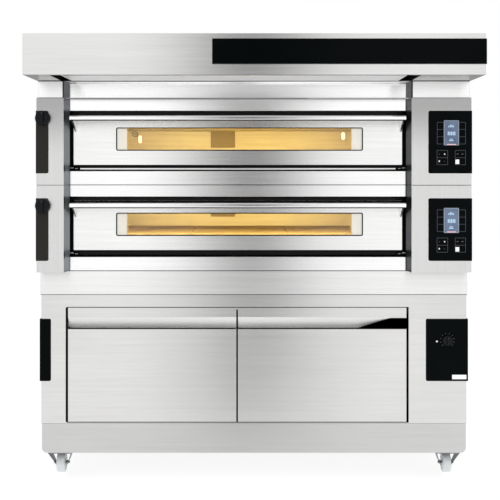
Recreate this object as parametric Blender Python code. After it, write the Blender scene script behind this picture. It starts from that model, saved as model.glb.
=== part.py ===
"""Two-deck electric pizza oven on a proving cabinet with castors, under an extraction hood.

Units are metres, +Z is up and the front of the oven faces -Y.  The origin is on the floor,
under the middle of the whole appliance.
"""
from math import cos, pi, radians, sin

import bmesh
import bpy
from mathutils import Matrix, Vector

# ---------------------------------------------------------------- driving dimensions
HALF_WIDTH = 0.830          # corner panels of the decks and the prover reach this far
BODY_HALF = 0.828           # deck side sheets
PROVER_HALF = 0.824
PLINTH_HALF = 0.822
HOOD_FRONT = -0.700
HOOD_BACK = 0.700
PILLAR_FRONT = -0.465
PILLAR_BACK = -0.300        # where the pillars meet the side sheets
FASCIA = -0.395             # front plane between the pillars, and of the prover
BACK = 0.680

CASTER_HEIGHT = 0.104
PLINTH_TOP = 0.218
PROVER_TOP = 0.7175
DECK_BASE = 0.810
DECK_HEIGHT = 0.333
HOOD_BASE_TOP = 1.541
HOOD_TOP = 1.689

SHEET = 0.002               # folded steel sheet
GAP = 0.0003                # fit between touching pieces

LEFT_INNER = -0.724         # inner faces of the two deck pillars
RIGHT_INNER = 0.600
FRAME_X = (-0.7135, 0.5885)
DOOR_X = (-0.7050, 0.5800)
CHAMBER_X = (-0.6785, 0.5565)
CHAMBER_Y = (-0.318, 0.542)

# heights inside one deck, from its underside
LOWER_SLOT = 0.0535
DOOR_Z = (0.078, 0.2715)
FRAME_OPENING_TOP = 0.288
WINDOW_X = (-0.538, 0.426)
WINDOW_Z = (0.1335, 0.2240)
INNER_WINDOW_X = (-0.497, 0.383)
INNER_WINDOW_Z = (0.1370, 0.2205)
STONE_Z = (0.105, 0.122)
CHAMBER_Z = (0.058, 0.256)
PANEL_Z = (0.045, 0.2835)
DAMPER_Z = 0.255

HINGE_Y = -0.357
HINGE_Z = 0.066
HINGE_RADIUS = 0.011
DOOR_FRONT = -0.365
DOOR_SEAM = -0.343          # where the outer skin meets the inner liner
DOOR_BACK = -0.320
HANDLE_FRONT = -0.475
HANDLE_Z = (0.248, 0.2655)
HANDLE_X = (-0.7015, 0.5785)

DAMPER_X = -0.8025
DUCT_X = (-0.8205, -0.7845)
DUCT_Y = (0.400, 0.500)
DUCT_Z = (0.815, 1.560)
PORT_Y = (0.425, 0.475)
PORT_Z = (0.186, 0.226)     # chamber steam outlet, from the deck's underside

PROVER_OPENING_X = (-0.726, 0.600)
PROVER_OPENING_Z = (0.2185, 0.6690)
PROVER_CABIN_X = (-0.712, 0.586)
PROVER_CABIN_Z = (0.232, 0.655)
PROVER_DOOR_DEPTH = 0.035
PROVER_PANEL_Z = (0.383, 0.624)

WHEEL_RADIUS = 0.040
WHEEL_HALF_WIDTH = 0.0155
CASTER_X = 0.763
CASTER_Y = (-0.320, 0.600)
CASTER_TRAIL = 0.024
AXLE_RADIUS = 0.005


# ---------------------------------------------------------------- materials
def make_material(name, color, roughness, metallic):
    material = bpy.data.materials.new(name)
    material.use_nodes = True
    shader = material.node_tree.nodes["Principled BSDF"]
    shader.inputs["Base Color"].default_value = (*color, 1.0)
    shader.inputs["Roughness"].default_value = roughness
    shader.inputs["Metallic"].default_value = metallic
    return material


for old in list(bpy.data.objects):
    bpy.data.objects.remove(old, do_unlink=True)

STEEL = make_material("brushed_stainless", (0.62, 0.61, 0.59), 0.32, 1.0)
GALVANISED = make_material("galvanised_sheet", (0.55, 0.56, 0.57), 0.45, 1.0)
ALUMINISED = make_material("aluminised_sheet", (0.60, 0.57, 0.50), 0.40, 1.0)
BLACK_GLOSS = make_material("black_gloss", (0.012, 0.012, 0.014), 0.10, 0.0)
CHARCOAL = make_material("charcoal_plastic", (0.035, 0.033, 0.028), 0.45, 0.0)
GLASS = make_material("oven_glass", (0.80, 0.72, 0.55), 0.03, 0.0)
STONE = make_material("refractory_stone", (0.62, 0.50, 0.36), 0.85, 0.0)
WOOL = make_material("mineral_wool", (0.60, 0.55, 0.42), 0.95, 0.0)
HEATER_TUBE = make_material("heater_sheath", (0.16, 0.14, 0.13), 0.50, 1.0)
ZINC = make_material("zinc_plate", (0.30, 0.31, 0.30), 0.40, 1.0)
NYLON = make_material("grey_nylon", (0.72, 0.73, 0.74), 0.40, 0.0)


# ---------------------------------------------------------------- mesh helpers
def finish(name, bm, material, pivot=None):
    """Turn a bmesh drawn in world coordinates into an object, hung on its pivot if it has one."""
    bmesh.ops.remove_doubles(bm, verts=bm.verts, dist=1e-6)
    bmesh.ops.recalc_face_normals(bm, faces=bm.faces)
    if pivot is not None:
        bmesh.ops.translate(bm, verts=bm.verts, vec=-pivot.location)
    mesh = bpy.data.meshes.new(name)
    bm.to_mesh(mesh)
    bm.free()
    mesh.shade_smooth()
    mesh.set_sharp_from_angle(angle=radians(30))
    mesh.materials.append(material)
    obj = bpy.data.objects.new(name, mesh)
    bpy.context.collection.objects.link(obj)
    obj.parent = pivot
    return obj


def skin(name, loops, material, ring=False, pivot=None):
    """Join equal loops of points into one wall; a ring closes on itself, else both ends are capped."""
    bm = bmesh.new()
    rows = [[bm.verts.new(point) for point in loop] for loop in loops]
    count = len(rows[0])
    pairs = list(zip(rows, rows[1:]))
    if ring:
        pairs.append((rows[-1], rows[0]))
    else:
        bm.faces.new(rows[0])
        bm.faces.new(rows[-1])
    for first, second in pairs:
        for i in range(count):
            j = (i + 1) % count
            bm.faces.new((first[i], first[j], second[j], second[i]))
    return finish(name, bm, material, pivot)


def rect_y(x, z, y, grow=0.0):
    """Rectangle in the plane y, from spans x and z, grown by a margin."""
    x0, x1, z0, z1 = x[0] - grow, x[1] + grow, z[0] - grow, z[1] + grow
    return [(x0, y, z0), (x1, y, z0), (x1, y, z1), (x0, y, z1)]


def rect_z(x, y, z, grow=0.0):
    """Rectangle in the plane z, from spans x and y, grown by a margin."""
    x0, x1, y0, y1 = x[0] - grow, x[1] + grow, y[0] - grow, y[1] + grow
    return [(x0, y0, z), (x1, y0, z), (x1, y1, z), (x0, y1, z)]


def box(name, x, y, z, material, pivot=None):
    return skin(name, [rect_z(x, y, z[0]), rect_z(x, y, z[1])], material, pivot=pivot)


def prism(name, outline, axis, span, material, pivot=None):
    """Extrude a 2-D outline along X, Y or Z; the outline holds the other two coordinates."""
    place = {"X": lambda a, b, t: (t, a, b),
             "Y": lambda a, b, t: (a, t, b),
             "Z": lambda a, b, t: (a, b, t)}[axis]
    loops = [[place(a, b, t) for a, b in outline] for t in span]
    return skin(name, loops, material, pivot=pivot)


def inset_outline(outline, wall):
    """The same outline, drawn one wall further in; points run counter-clockwise."""
    result = []
    for i, corner in enumerate(outline):
        here = Vector(corner)
        before = (here - Vector(outline[i - 1])).normalized()
        after = (Vector(outline[(i + 1) % len(outline)]) - here).normalized()
        inward = Vector((-before.y, before.x)) + Vector((-after.y, after.x))
        result.append(tuple(here + inward * wall / (1.0 + before.dot(after))))
    return result


def wall_ring(name, outline, span, material, wall=SHEET):
    """A standing wall that follows a plan outline, open above and below."""
    inner = inset_outline(outline, wall)
    loops = [[(x, y, z) for x, y in path] for path, z in
             ((outline, span[0]), (outline, span[1]), (inner, span[1]), (inner, span[0]))]
    return skin(name, loops, material, ring=True)


def channel_outline(x, front, back, wall=SHEET):
    """Plan of a folded pillar: a front face with two returns, open to the rear."""
    x0, x1 = x
    return [(x0, back), (x0, front), (x1, front), (x1, back),
            (x1 - wall, back), (x1 - wall, front + wall), (x0 + wall, front + wall), (x0 + wall, back)]


def corner_outline(edge, side, front, back, thickness):
    """Plan of a plate that covers a front and turns the corner along one side."""
    inner = side - thickness if side > 0 else side + thickness
    return [(edge, front), (side, front), (side, back), (inner, back), (inner, front + thickness),
            (edge, front + thickness)]


def turned(name, profile, centre, axis, segments, material, pivot=None, closed=False):
    """Spin a profile of (radius, distance along the axis) points about an axis through centre.

    Radii are across the flats, and a flat faces straight down where the axis is level.
    """
    along = {"X": Vector((1, 0, 0)), "Y": Vector((0, 1, 0)), "Z": Vector((0, 0, 1))}[axis]
    outward = {"X": Vector((0, 0, 1)), "Y": Vector((0, 0, 1)), "Z": Vector((1, 0, 0))}[axis]
    outward = Matrix.Rotation(pi / segments, 3, along) @ outward / cos(pi / segments)
    centre = Vector(centre)
    bm = bmesh.new()
    points = [bm.verts.new(centre + outward * r + along * t) for r, t in profile]
    edges = [bm.edges.new(pair) for pair in zip(points, points[1:])]
    if closed:
        edges.append(bm.edges.new((points[-1], points[0])))
    bmesh.ops.spin(bm, geom=points + edges, cent=centre, axis=along, angle=2 * pi, steps=segments)
    bmesh.ops.remove_doubles(bm, verts=bm.verts, dist=1e-6)
    return finish(name, bm, material, pivot)


def cylinder(name, radius, start, axis, length, segments, material, pivot=None):
    return turned(name, [(0, 0), (radius, 0), (radius, length), (0, length)],
                  start, axis, segments, material, pivot)


def combine(target, tool, operation="DIFFERENCE"):
    """Cut with, or weld on, a helper shape that is not a piece itself."""
    modifier = target.modifiers.new(tool.name, "BOOLEAN")
    modifier.operation = operation
    modifier.solver = "EXACT"
    modifier.object = tool
    tool.hide_render = True
    tool.display_type = "WIRE"
    return target


def pivot_at(name, point):
    """An empty on a joint's axis, for the pieces that turn about it."""
    empty = bpy.data.objects.new(name, None)
    empty.location = point
    bpy.context.collection.objects.link(empty)
    return empty


def shifted(span, amount):
    return (span[0] + amount, span[1] + amount)


# ---------------------------------------------------------------- one baking deck: fixed pieces
def make_casing(deck, base):
    """Side, back, top and bottom sheets as one wrapper with an open front."""
    x = (-BODY_HALF, BODY_HALF)
    z = (base + GAP, base + DECK_HEIGHT - GAP)
    front = PILLAR_BACK
    casing = skin(deck + "_casing", [
        rect_y(x, z, BACK - SHEET, -SHEET), rect_y(x, z, front, -SHEET),
        rect_y(x, z, front), rect_y(x, z, BACK)], STEEL)
    passage = box(deck + "_duct_passage", DUCT_X, DUCT_Y, (base - 0.01, base + DECK_HEIGHT + 0.01), STEEL)
    combine(casing, passage)
    gland = cylinder(deck + "_cable_gland", 0.016, (0.700, BACK - 0.001, base + 0.070), "Y", 0.019, 12, STEEL)
    combine(casing, gland, "UNION")


def raised(loop, base):
    return [(x, y, z + base) for x, y, z in loop]


def make_chamber(deck, base):
    """Baking chamber: a plain folded box with a front flange and a steam outlet in its left wall."""
    front, back = CHAMBER_Y
    flange_x, flange_z = (LEFT_INNER + 0.004, RIGHT_INNER - 0.004), (0.004, DECK_HEIGHT - 0.004)
    loops = [rect_y(CHAMBER_X, CHAMBER_Z, back), rect_y(CHAMBER_X, CHAMBER_Z, front),
             rect_y(flange_x, flange_z, front), rect_y(flange_x, flange_z, front + SHEET),
             rect_y(CHAMBER_X, CHAMBER_Z, front + SHEET, SHEET),
             rect_y(CHAMBER_X, CHAMBER_Z, back + SHEET, SHEET)]
    chamber = skin(deck + "_chamber", [raised(loop, base) for loop in loops], ALUMINISED)
    outlet = box(deck + "_chamber_outlet", (CHAMBER_X[0] - 0.01, CHAMBER_X[0] + 0.01), PORT_Y,
                 shifted(PORT_Z, base), STEEL)
    return combine(chamber, outlet)


def make_insulation(deck, base):
    """Mineral wool jacket round the chamber, open at the front where the flange sits."""
    wall = 0.045
    inner_x = (CHAMBER_X[0] - SHEET - GAP, CHAMBER_X[1] + SHEET + GAP)
    inner_z = (base + CHAMBER_Z[0] - SHEET - GAP, base + CHAMBER_Z[1] + SHEET + GAP)
    front = PILLAR_BACK + 0.001
    back = CHAMBER_Y[1] + SHEET + GAP
    outer_x = (inner_x[0] - 2 * wall, inner_x[1] + 0.036)
    outer_z = (base + 0.008, base + DECK_HEIGHT - 0.012)
    jacket = skin(deck + "_insulation", [
        rect_y(inner_x, inner_z, back), rect_y(inner_x, inner_z, front),
        rect_y(outer_x, outer_z, front), rect_y(outer_x, outer_z, back + 2 * wall)], WOOL)
    hole = box(deck + "_insulation_hole", (outer_x[0] - 0.01, inner_x[0] + 0.01),
               (PORT_Y[0] - 0.003, PORT_Y[1] + 0.003),
               (base + PORT_Z[0] - 0.003, base + PORT_Z[1] + 0.003), WOOL)
    return combine(jacket, hole)


def make_element(deck, place, base, height, passes):
    """Tubular heater bent to and fro across the chamber, from one pair of terminals."""
    left, right = CHAMBER_X[0] + 0.060, CHAMBER_X[1] - 0.060
    first, last = CHAMBER_Y[0] + 0.080, CHAMBER_Y[1] - 0.080
    pitch = (last - first) / (passes - 1)
    bend = pitch / 2
    bend_steps = 4
    path = [(right + 0.035, first)]
    for i in range(passes):
        y = first + i * pitch
        if i == passes - 1:
            path.append((right + 0.035, y))
            break
        side = left + bend if i % 2 == 0 else right - bend
        sign = -1 if i % 2 == 0 else 1
        for k in range(bend_steps + 1):
            angle = pi * k / bend_steps
            path.append((side + sign * bend * sin(angle), y + bend - bend * cos(angle)))
    curve = bpy.data.curves.new(deck + "_" + place + "_element", "CURVE")
    curve.dimensions = "3D"
    curve.bevel_depth = 0.0042
    curve.bevel_resolution = 1
    curve.use_fill_caps = True
    spline = curve.splines.new("POLY")
    spline.points.add(len(path) - 1)
    for point, (x, y) in zip(spline.points, path):
        point.co = (x, y, base + height, 1.0)
    curve.materials.append(HEATER_TUBE)
    element = bpy.data.objects.new(curve.name, curve)
    bpy.context.collection.objects.link(element)
    return element


def make_stone_floor(deck, base):
    """Refractory floor that stands on a rib at each end, clear of the bottom heater."""
    rib = 0.0185
    x0, x1 = CHAMBER_X[0] + 0.0015, CHAMBER_X[1] - 0.0015
    foot, under, top = base + CHAMBER_Z[0] + GAP, base + STONE_Z[0], base + STONE_Z[1]
    outline = [(x0, foot), (x0 + rib, foot), (x0 + rib, under), (x1 - rib, under),
               (x1 - rib, foot), (x1, foot), (x1, top), (x0, top)]
    return prism(deck + "_stone_floor", outline, "Y", (CHAMBER_Y[0] + 0.004, CHAMBER_Y[1] - 0.002), STONE)


def make_front_frame(deck, base):
    """Folded fascia frame: top and bottom bands joined by narrow stiles, open behind."""
    outer_z = (base + GAP, base + DECK_HEIGHT - GAP)
    hole_z = (base + LOWER_SLOT, base + FRAME_OPENING_TOP)
    hole_x = (DOOR_X[0] - 0.003, DOOR_X[1] + 0.003)
    back = CHAMBER_Y[0] - GAP
    return skin(deck + "_front_frame", [
        rect_y(FRAME_X, outer_z, back), rect_y(FRAME_X, outer_z, FASCIA),
        rect_y(hole_x, hole_z, FASCIA), rect_y(hole_x, hole_z, back),
        rect_y(hole_x, hole_z, back, SHEET), rect_y(hole_x, hole_z, FASCIA + SHEET, SHEET),
        rect_y(FRAME_X, outer_z, FASCIA + SHEET, -SHEET), rect_y(FRAME_X, outer_z, back, -SHEET)],
        STEEL, ring=True)


def make_slot_trim(deck, base):
    """Black strip with a rounded nose that closes the slot above the door."""
    z0, z1 = base + DOOR_Z[1] + 0.0018, base + FRAME_OPENING_TOP - GAP
    radius = (z1 - z0) / 2
    nose_y = FASCIA + 0.017
    nose = [(nose_y - radius * sin(pi * k / 6), z0 + radius - radius * cos(pi * k / 6)) for k in range(7)]
    outline = nose + [(DOOR_BACK + 0.0005, z1), (DOOR_BACK + 0.0005, z0)]
    return prism(deck + "_slot_trim", outline, "X", (DOOR_X[0] + 0.001, DOOR_X[1] - 0.001), BLACK_GLOSS)


def make_pillars(deck, base):
    """Folded corner pillars; the left one has the damper shaft's hole."""
    span = (base + 0.0006, base + DECK_HEIGHT - 0.0006)
    back = PILLAR_BACK - GAP
    left = prism(deck + "_left_pillar", channel_outline((-BODY_HALF, LEFT_INNER), PILLAR_FRONT, back),
                 "Z", span, STEEL)
    right = prism(deck + "_right_pillar", channel_outline((RIGHT_INNER, BODY_HALF), PILLAR_FRONT, back),
                  "Z", span, STEEL)
    hole = cylinder(deck + "_shaft_hole", 0.0055, (DAMPER_X, PILLAR_FRONT - 0.02, base + DAMPER_Z),
                    "Y", 0.04, 16, STEEL)
    combine(left, hole)
    return left, right, hole


def make_corner_panels(deck, base, shaft_hole):
    """Glass control panel on the right corner and damper panel on the left corner."""
    span = shifted(PANEL_Z, base)
    front = PILLAR_FRONT - 0.0020
    thickness = 0.0017
    box_right = corner_outline(0.664, HALF_WIDTH, front, PILLAR_FRONT + 0.050, thickness)
    box_left = corner_outline(-0.782, -HALF_WIDTH, front, PILLAR_FRONT + 0.050, thickness)
    prism(deck + "_control_panel", box_right, "Z", span, BLACK_GLOSS)
    left = prism(deck + "_damper_panel", box_left, "Z", span, CHARCOAL)
    combine(left, shaft_hole)


# ---------------------------------------------------------------- one baking deck: moving pieces
def make_door(deck, base):
    """Drop-down door: outer skin, inner liner, window glass, bar handle and hinge tube."""
    middle = (DOOR_X[0] + DOOR_X[1]) / 2
    pivot = pivot_at(deck + "_door_axis", (middle, HINGE_Y, base + HINGE_Z))
    outer_z = shifted(DOOR_Z, base)
    window_z = shifted(WINDOW_Z, base)
    skin(deck + "_door_skin", [
        rect_y(DOOR_X, outer_z, DOOR_SEAM), rect_y(DOOR_X, outer_z, DOOR_FRONT),
        rect_y(WINDOW_X, window_z, DOOR_FRONT), rect_y(WINDOW_X, window_z, DOOR_SEAM),
        rect_y(WINDOW_X, window_z, DOOR_SEAM, SHEET),
        rect_y(WINDOW_X, window_z, DOOR_FRONT + SHEET, SHEET),
        rect_y(DOOR_X, outer_z, DOOR_FRONT + SHEET, -SHEET),
        rect_y(DOOR_X, outer_z, DOOR_SEAM, -SHEET)], STEEL, ring=True, pivot=pivot)

    liner_x = (DOOR_X[0] + 0.009, DOOR_X[1] - 0.009)
    liner_z = (outer_z[0] + 0.012, outer_z[1] - 0.009)
    inner_z = shifted(INNER_WINDOW_Z, base)
    front = DOOR_SEAM + GAP
    skin(deck + "_door_liner", [
        rect_y(liner_x, liner_z, front), rect_y(liner_x, liner_z, DOOR_BACK),
        rect_y(INNER_WINDOW_X, inner_z, DOOR_BACK), rect_y(INNER_WINDOW_X, inner_z, front),
        rect_y(INNER_WINDOW_X, inner_z, front, SHEET),
        rect_y(INNER_WINDOW_X, inner_z, DOOR_BACK - SHEET, SHEET),
        rect_y(liner_x, liner_z, DOOR_BACK - SHEET, -SHEET),
        rect_y(liner_x, liner_z, front, -SHEET)], STEEL, ring=True, pivot=pivot)

    glass = rect_y(WINDOW_X, window_z, DOOR_FRONT + 0.002, -GAP)
    glass_back = rect_y(WINDOW_X, window_z, DOOR_FRONT + 0.006, -GAP)
    skin(deck + "_door_glass", [glass, glass_back], GLASS, pivot=pivot)

    make_handle(deck, base, pivot)

    cylinder(deck + "_hinge_tube", HINGE_RADIUS, (DOOR_X[0] + 0.001, HINGE_Y, base + HINGE_Z), "X",
             DOOR_X[1] - DOOR_X[0] - 0.002, 16, BLACK_GLOSS, pivot)


def make_handle(deck, base, pivot):
    """Full-width grip bar on two tapered end arms that stand on the door's skin."""
    arm = 0.009
    root = DOOR_FRONT - GAP
    low, high = base + HANDLE_Z[0], base + HANDLE_Z[1]
    grip = [(HANDLE_FRONT, low + 0.004), (HANDLE_FRONT + 0.004, low), (HANDLE_FRONT + 0.014, low),
            (HANDLE_FRONT + 0.016, high - 0.002), (HANDLE_FRONT + 0.013, high),
            (HANDLE_FRONT + 0.003, high), (HANDLE_FRONT, high - 0.003)]
    x0, x1 = HANDLE_X
    handle = prism(deck + "_door_handle", grip, "X", (x0, x1), STEEL, pivot)
    side = [(HANDLE_FRONT + 0.002, low + 0.001), (root, base + 0.205), (root, high - 0.003),
            (HANDLE_FRONT + 0.002, high - 0.001)]
    for label, start in (("left", x0 + 0.0001), ("right", x1 - arm - 0.0001)):
        bracket = prism(deck + "_" + label + "_handle_arm", side, "X", (start, start + arm), STEEL, pivot)
        combine(handle, bracket, "UNION")


def make_damper(deck, base):
    """Steam damper: corner knob, long shaft and the butterfly flap in the duct."""
    centre_z = base + DAMPER_Z
    knob_back = PILLAR_FRONT - 0.0026
    pivot = pivot_at(deck + "_damper_axis", (DAMPER_X, knob_back, centre_z))
    radius, depth = 0.0272, 0.026
    knob = turned(deck + "_damper_knob", [(0, 0), (radius - 0.002, 0), (radius, -0.003),
                                          (radius, -depth + 0.012), (radius - 0.003, -depth + 0.009),
                                          (0, -depth + 0.009)],
                  (DAMPER_X, knob_back, centre_z), "Y", 28, CHARCOAL, pivot)
    grip = box(deck + "_damper_grip", (DAMPER_X - 0.006, DAMPER_X + 0.006),
               (knob_back - depth, knob_back - depth + 0.012),
               (centre_z - 0.022, centre_z + 0.022), CHARCOAL, pivot)
    combine(knob, grip, "UNION")

    start = knob_back + GAP
    shaft = cylinder(deck + "_damper_shaft", 0.004, (DAMPER_X, start, centre_z), "Y",
                     DUCT_Y[1] - 0.004 - start, 12, ZINC, pivot)
    flap = box(deck + "_damper_flap", (DAMPER_X - 0.0155, DAMPER_X + 0.0155),
               (DUCT_Y[0] + 0.004, DUCT_Y[1] - 0.0045), (centre_z - 0.001, centre_z + 0.001), ZINC, pivot)
    combine(shaft, flap, "UNION")


def make_deck(deck, base):
    make_casing(deck, base)
    make_insulation(deck, base)
    make_chamber(deck, base)
    make_stone_floor(deck, base)
    make_element(deck, "top", base, CHAMBER_Z[1] - 0.010, 6)
    make_element(deck, "bottom", base, CHAMBER_Z[0] + 0.010, 6)
    make_front_frame(deck, base)
    make_slot_trim(deck, base)
    shaft_hole = make_pillars(deck, base)[2]
    make_corner_panels(deck, base, shaft_hole)
    make_door(deck, base)
    make_damper(deck, base)


# ---------------------------------------------------------------- steam duct and hood
def make_steam_duct(bases):
    """Vertical duct at the rear left, with a side branch to each chamber."""
    corners = [(DUCT_X[0], DUCT_Y[0]), (DUCT_X[1], DUCT_Y[0]), (DUCT_X[1], DUCT_Y[1]), (DUCT_X[0], DUCT_Y[1])]
    corners = [(x + (GAP if x == DUCT_X[0] else -GAP), y + (GAP if y == DUCT_Y[0] else -GAP))
               for x, y in corners]
    duct = wall_ring("steam_duct", corners, DUCT_Z, GALVANISED, 0.0015)
    branch_end = CHAMBER_X[0] - SHEET - GAP
    wall = 0.0015
    for number, base in enumerate(bases):
        z = shifted(PORT_Z, base)
        branch = box(f"branch_{number}", (DUCT_X[1] - 0.0010, branch_end), PORT_Y, z, GALVANISED)
        combine(duct, branch, "UNION")
        bore = box(f"branch_bore_{number}", (DUCT_X[1] - 0.01, branch_end + 0.01),
                   (PORT_Y[0] + wall, PORT_Y[1] - wall), (z[0] + wall, z[1] - wall), GALVANISED)
        combine(duct, bore)
        hole = cylinder(f"duct_shaft_hole_{number}", 0.0048, (DAMPER_X, DUCT_Y[0] - 0.01, base + DAMPER_Z),
                        "Y", 0.02, 16, GALVANISED)
        combine(duct, hole)


def make_hood():
    """Pillar caps and upper fascia, the sheet canopy open below, and its black band."""
    inset = 0.005
    left, right = -BODY_HALF + inset, BODY_HALF - inset
    front = PILLAR_FRONT + inset
    plan = [(left, front), (LEFT_INNER - inset, front), (LEFT_INNER - inset, FASCIA),
            (RIGHT_INNER + inset, FASCIA), (RIGHT_INNER + inset, front), (right, front),
            (right, BACK), (left, BACK)]
    wall_ring("hood_base", plan, (DECK_BASE + 2 * DECK_HEIGHT + GAP, HOOD_BASE_TOP - GAP), STEEL)

    x = (-0.827, 0.827)
    y = (HOOD_FRONT + 0.003, HOOD_BACK)
    mouth_x = (-0.735, RIGHT_INNER)
    mouth_y = (HOOD_FRONT + 0.020, FASCIA - 0.010)
    canopy = skin("hood_canopy", [
        rect_z(x, y, HOOD_TOP - SHEET, -SHEET), rect_z(x, y, HOOD_BASE_TOP + SHEET, -SHEET),
        rect_z(mouth_x, mouth_y, HOOD_BASE_TOP + SHEET), rect_z(mouth_x, mouth_y, HOOD_BASE_TOP),
        rect_z(x, y, HOOD_BASE_TOP), rect_z(x, y, HOOD_TOP)], STEEL)
    passage = box("canopy_duct_passage", DUCT_X, DUCT_Y, (HOOD_BASE_TOP - 0.01, HOOD_BASE_TOP + 0.02), STEEL)
    combine(canopy, passage)
    collar_at = (0.0, 0.450, HOOD_TOP - 0.001)
    collar = cylinder("exhaust_collar", 0.0765, collar_at, "Z", 0.061, 40, STEEL)
    combine(canopy, collar, "UNION")
    throat = cylinder("exhaust_throat", 0.0750, (0.0, 0.450, HOOD_TOP - 0.02), "Z", 0.12, 40, STEEL)
    combine(canopy, throat)

    band = corner_outline(-0.150, HALF_WIDTH, HOOD_FRONT, HOOD_FRONT + 0.060, 0.0027)
    prism("hood_band", band, "Z", (1.579, 1.670), BLACK_GLOSS)


def make_support_frame():
    """Sheet skirt that carries the decks on the prover."""
    plan = [(-BODY_HALF, FASCIA), (BODY_HALF, FASCIA), (BODY_HALF, BACK), (-BODY_HALF, BACK)]
    wall_ring("support_frame", plan, (PROVER_TOP + GAP, DECK_BASE - GAP), STEEL, 0.003)


# ---------------------------------------------------------------- proving cabinet
def make_prover_cabinet():
    """Double-walled cabinet folded from sheet; a service hole in the back opens its wall space."""
    outer_x = (-PROVER_HALF, PROVER_HALF)
    outer_z = (PLINTH_TOP + GAP, PROVER_TOP)
    stop = FASCIA + PROVER_DOOR_DEPTH + 0.0005
    cabin_back = 0.620
    hole_x = (-0.100, 0.100)
    hole_z = (0.640, 0.700)
    skin("prover_cabinet", [
        rect_y(PROVER_CABIN_X, PROVER_CABIN_Z, cabin_back), rect_y(PROVER_CABIN_X, PROVER_CABIN_Z, stop),
        rect_y(PROVER_OPENING_X, (PROVER_OPENING_Z[0] + 0.003, PROVER_OPENING_Z[1]), stop),
        rect_y(PROVER_OPENING_X, (PROVER_OPENING_Z[0] + 0.003, PROVER_OPENING_Z[1]), FASCIA),
        rect_y(outer_x, outer_z, FASCIA), rect_y(outer_x, outer_z, BACK),
        rect_y(hole_x, hole_z, BACK), rect_y(hole_x, hole_z, BACK - SHEET),
        rect_y(outer_x, outer_z, BACK - SHEET, -0.0015), rect_y(outer_x, outer_z, FASCIA + 0.0015, -0.0015),
        rect_y(PROVER_OPENING_X, (PROVER_OPENING_Z[0] + 0.003, PROVER_OPENING_Z[1]), FASCIA + 0.0015, 0.0010),
        rect_y(PROVER_OPENING_X, (PROVER_OPENING_Z[0] + 0.003, PROVER_OPENING_Z[1]), stop + 0.0015, 0.0010),
        rect_y(PROVER_CABIN_X, PROVER_CABIN_Z, stop + 0.0015, 0.0015),
        rect_y(PROVER_CABIN_X, PROVER_CABIN_Z, cabin_back + 0.0015, 0.0015)], STEEL)


def prover_door_outline():
    """Side view of a prover door: flat panel, finger pocket under a sloping grip, top strip."""
    front = FASCIA
    back = FASCIA + PROVER_DOOR_DEPTH
    lip = 0.004
    pocket = 0.024
    panel_top, slope_start, slope_end = 0.587, 0.594, 0.631
    return [(front, 0.2245), (front, panel_top), (front + lip, panel_top), (front + lip, panel_top - 0.012),
            (front + pocket, panel_top - 0.012), (front + pocket, slope_start), (front, slope_end),
            (front, 0.6675), (back, 0.6675), (back, 0.2245)]


def make_prover_doors():
    gap = 0.003
    middle = -0.065
    sides = (("left", (PROVER_OPENING_X[0] + 0.005, middle - gap), PROVER_OPENING_X[0] + 0.010),
             ("right", (middle + gap, PROVER_OPENING_X[1] - 0.008), PROVER_OPENING_X[1] - 0.013))
    for side, span, hinge_x in sides:
        pivot = pivot_at("prover_" + side + "_door_axis", (hinge_x, FASCIA - 0.002, 0.445))
        door = prism("prover_" + side + "_door", prover_door_outline(), "X", span, STEEL, pivot)
        inside_x = (span[0] + SHEET, span[1] - SHEET)
        inside_y = (FASCIA + SHEET, FASCIA + PROVER_DOOR_DEPTH - SHEET)
        middle_x = sum(span) / 2
        for part, inside_z, drain_z in (("panel", (0.2265, 0.5700), 0.2245), ("top", (0.6340, 0.6655), 0.6675)):
            combine(door, box(f"{side}_{part}_hollow", inside_x, inside_y, inside_z, STEEL, pivot))
            drain = box(f"{side}_{part}_drain", (middle_x - 0.015, middle_x + 0.015),
                        (FASCIA + 0.014, FASCIA + 0.022), (drain_z - 0.004, drain_z + 0.004), STEEL, pivot)
            combine(door, drain)


def make_prover_base():
    """Plinth tray with rounded lower edges, open on top under the cabinet."""
    radius, steps = 0.019, 4
    z0, z1 = CASTER_HEIGHT, PLINTH_TOP
    arc = [radius * (1 - sin(pi / 2 * k / steps)) for k in range(steps + 1)]
    left = [(-PLINTH_HALF + radius * (1 - cos(pi / 2 * k / steps)), z0 + arc[k]) for k in range(steps + 1)]
    right = [(-x, z) for x, z in reversed(left)]
    outline = [(-PLINTH_HALF, z1)] + left + right + [(PLINTH_HALF, z1)]
    base = prism("prover_base", outline, "Y", (FASCIA, BACK), STEEL)
    wall = 0.003
    inside = [(x, z if z < z1 - 0.01 else z1 + 0.01) for x, z in inset_outline(outline, wall)]
    hollow = prism("plinth_hollow", inside, "Y", (FASCIA + wall, BACK - wall), STEEL)
    combine(base, hollow)


def make_prover_panels():
    """Corner panels of the prover: the right one carries the thermostat knob."""
    front = FASCIA - 0.0030
    thickness = 0.0027
    panels = (("prover_left_panel", -0.787, -HALF_WIDTH), ("prover_right_panel", 0.667, HALF_WIDTH))
    for name, edge, side in panels:
        inner = -PROVER_HALF - GAP if side < 0 else PROVER_HALF + GAP
        outline = [(edge, front), (side, front), (side, FASCIA + 0.050), (inner, FASCIA + 0.050),
                   (inner, front + thickness), (edge, front + thickness)]
        prism(name, outline, "Z", PROVER_PANEL_Z, BLACK_GLOSS)

    centre = (0.750, front - GAP, 0.541)
    pivot = pivot_at("thermostat_axis", centre)
    radius, depth = 0.019, 0.020
    knob = turned("thermostat_knob", [(0, 0), (radius, 0), (radius - 0.001, -depth + 0.009),
                                      (radius - 0.003, -depth + 0.007), (0, -depth + 0.007)],
                  centre, "Y", 24, CHARCOAL, pivot)
    grip = box("thermostat_grip", (centre[0] - 0.004, centre[0] + 0.004),
               (centre[1] - depth, centre[1] - depth + 0.010),
               (centre[2] - 0.0150, centre[2] + 0.0150), CHARCOAL, pivot)
    combine(knob, grip, "UNION")


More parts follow.
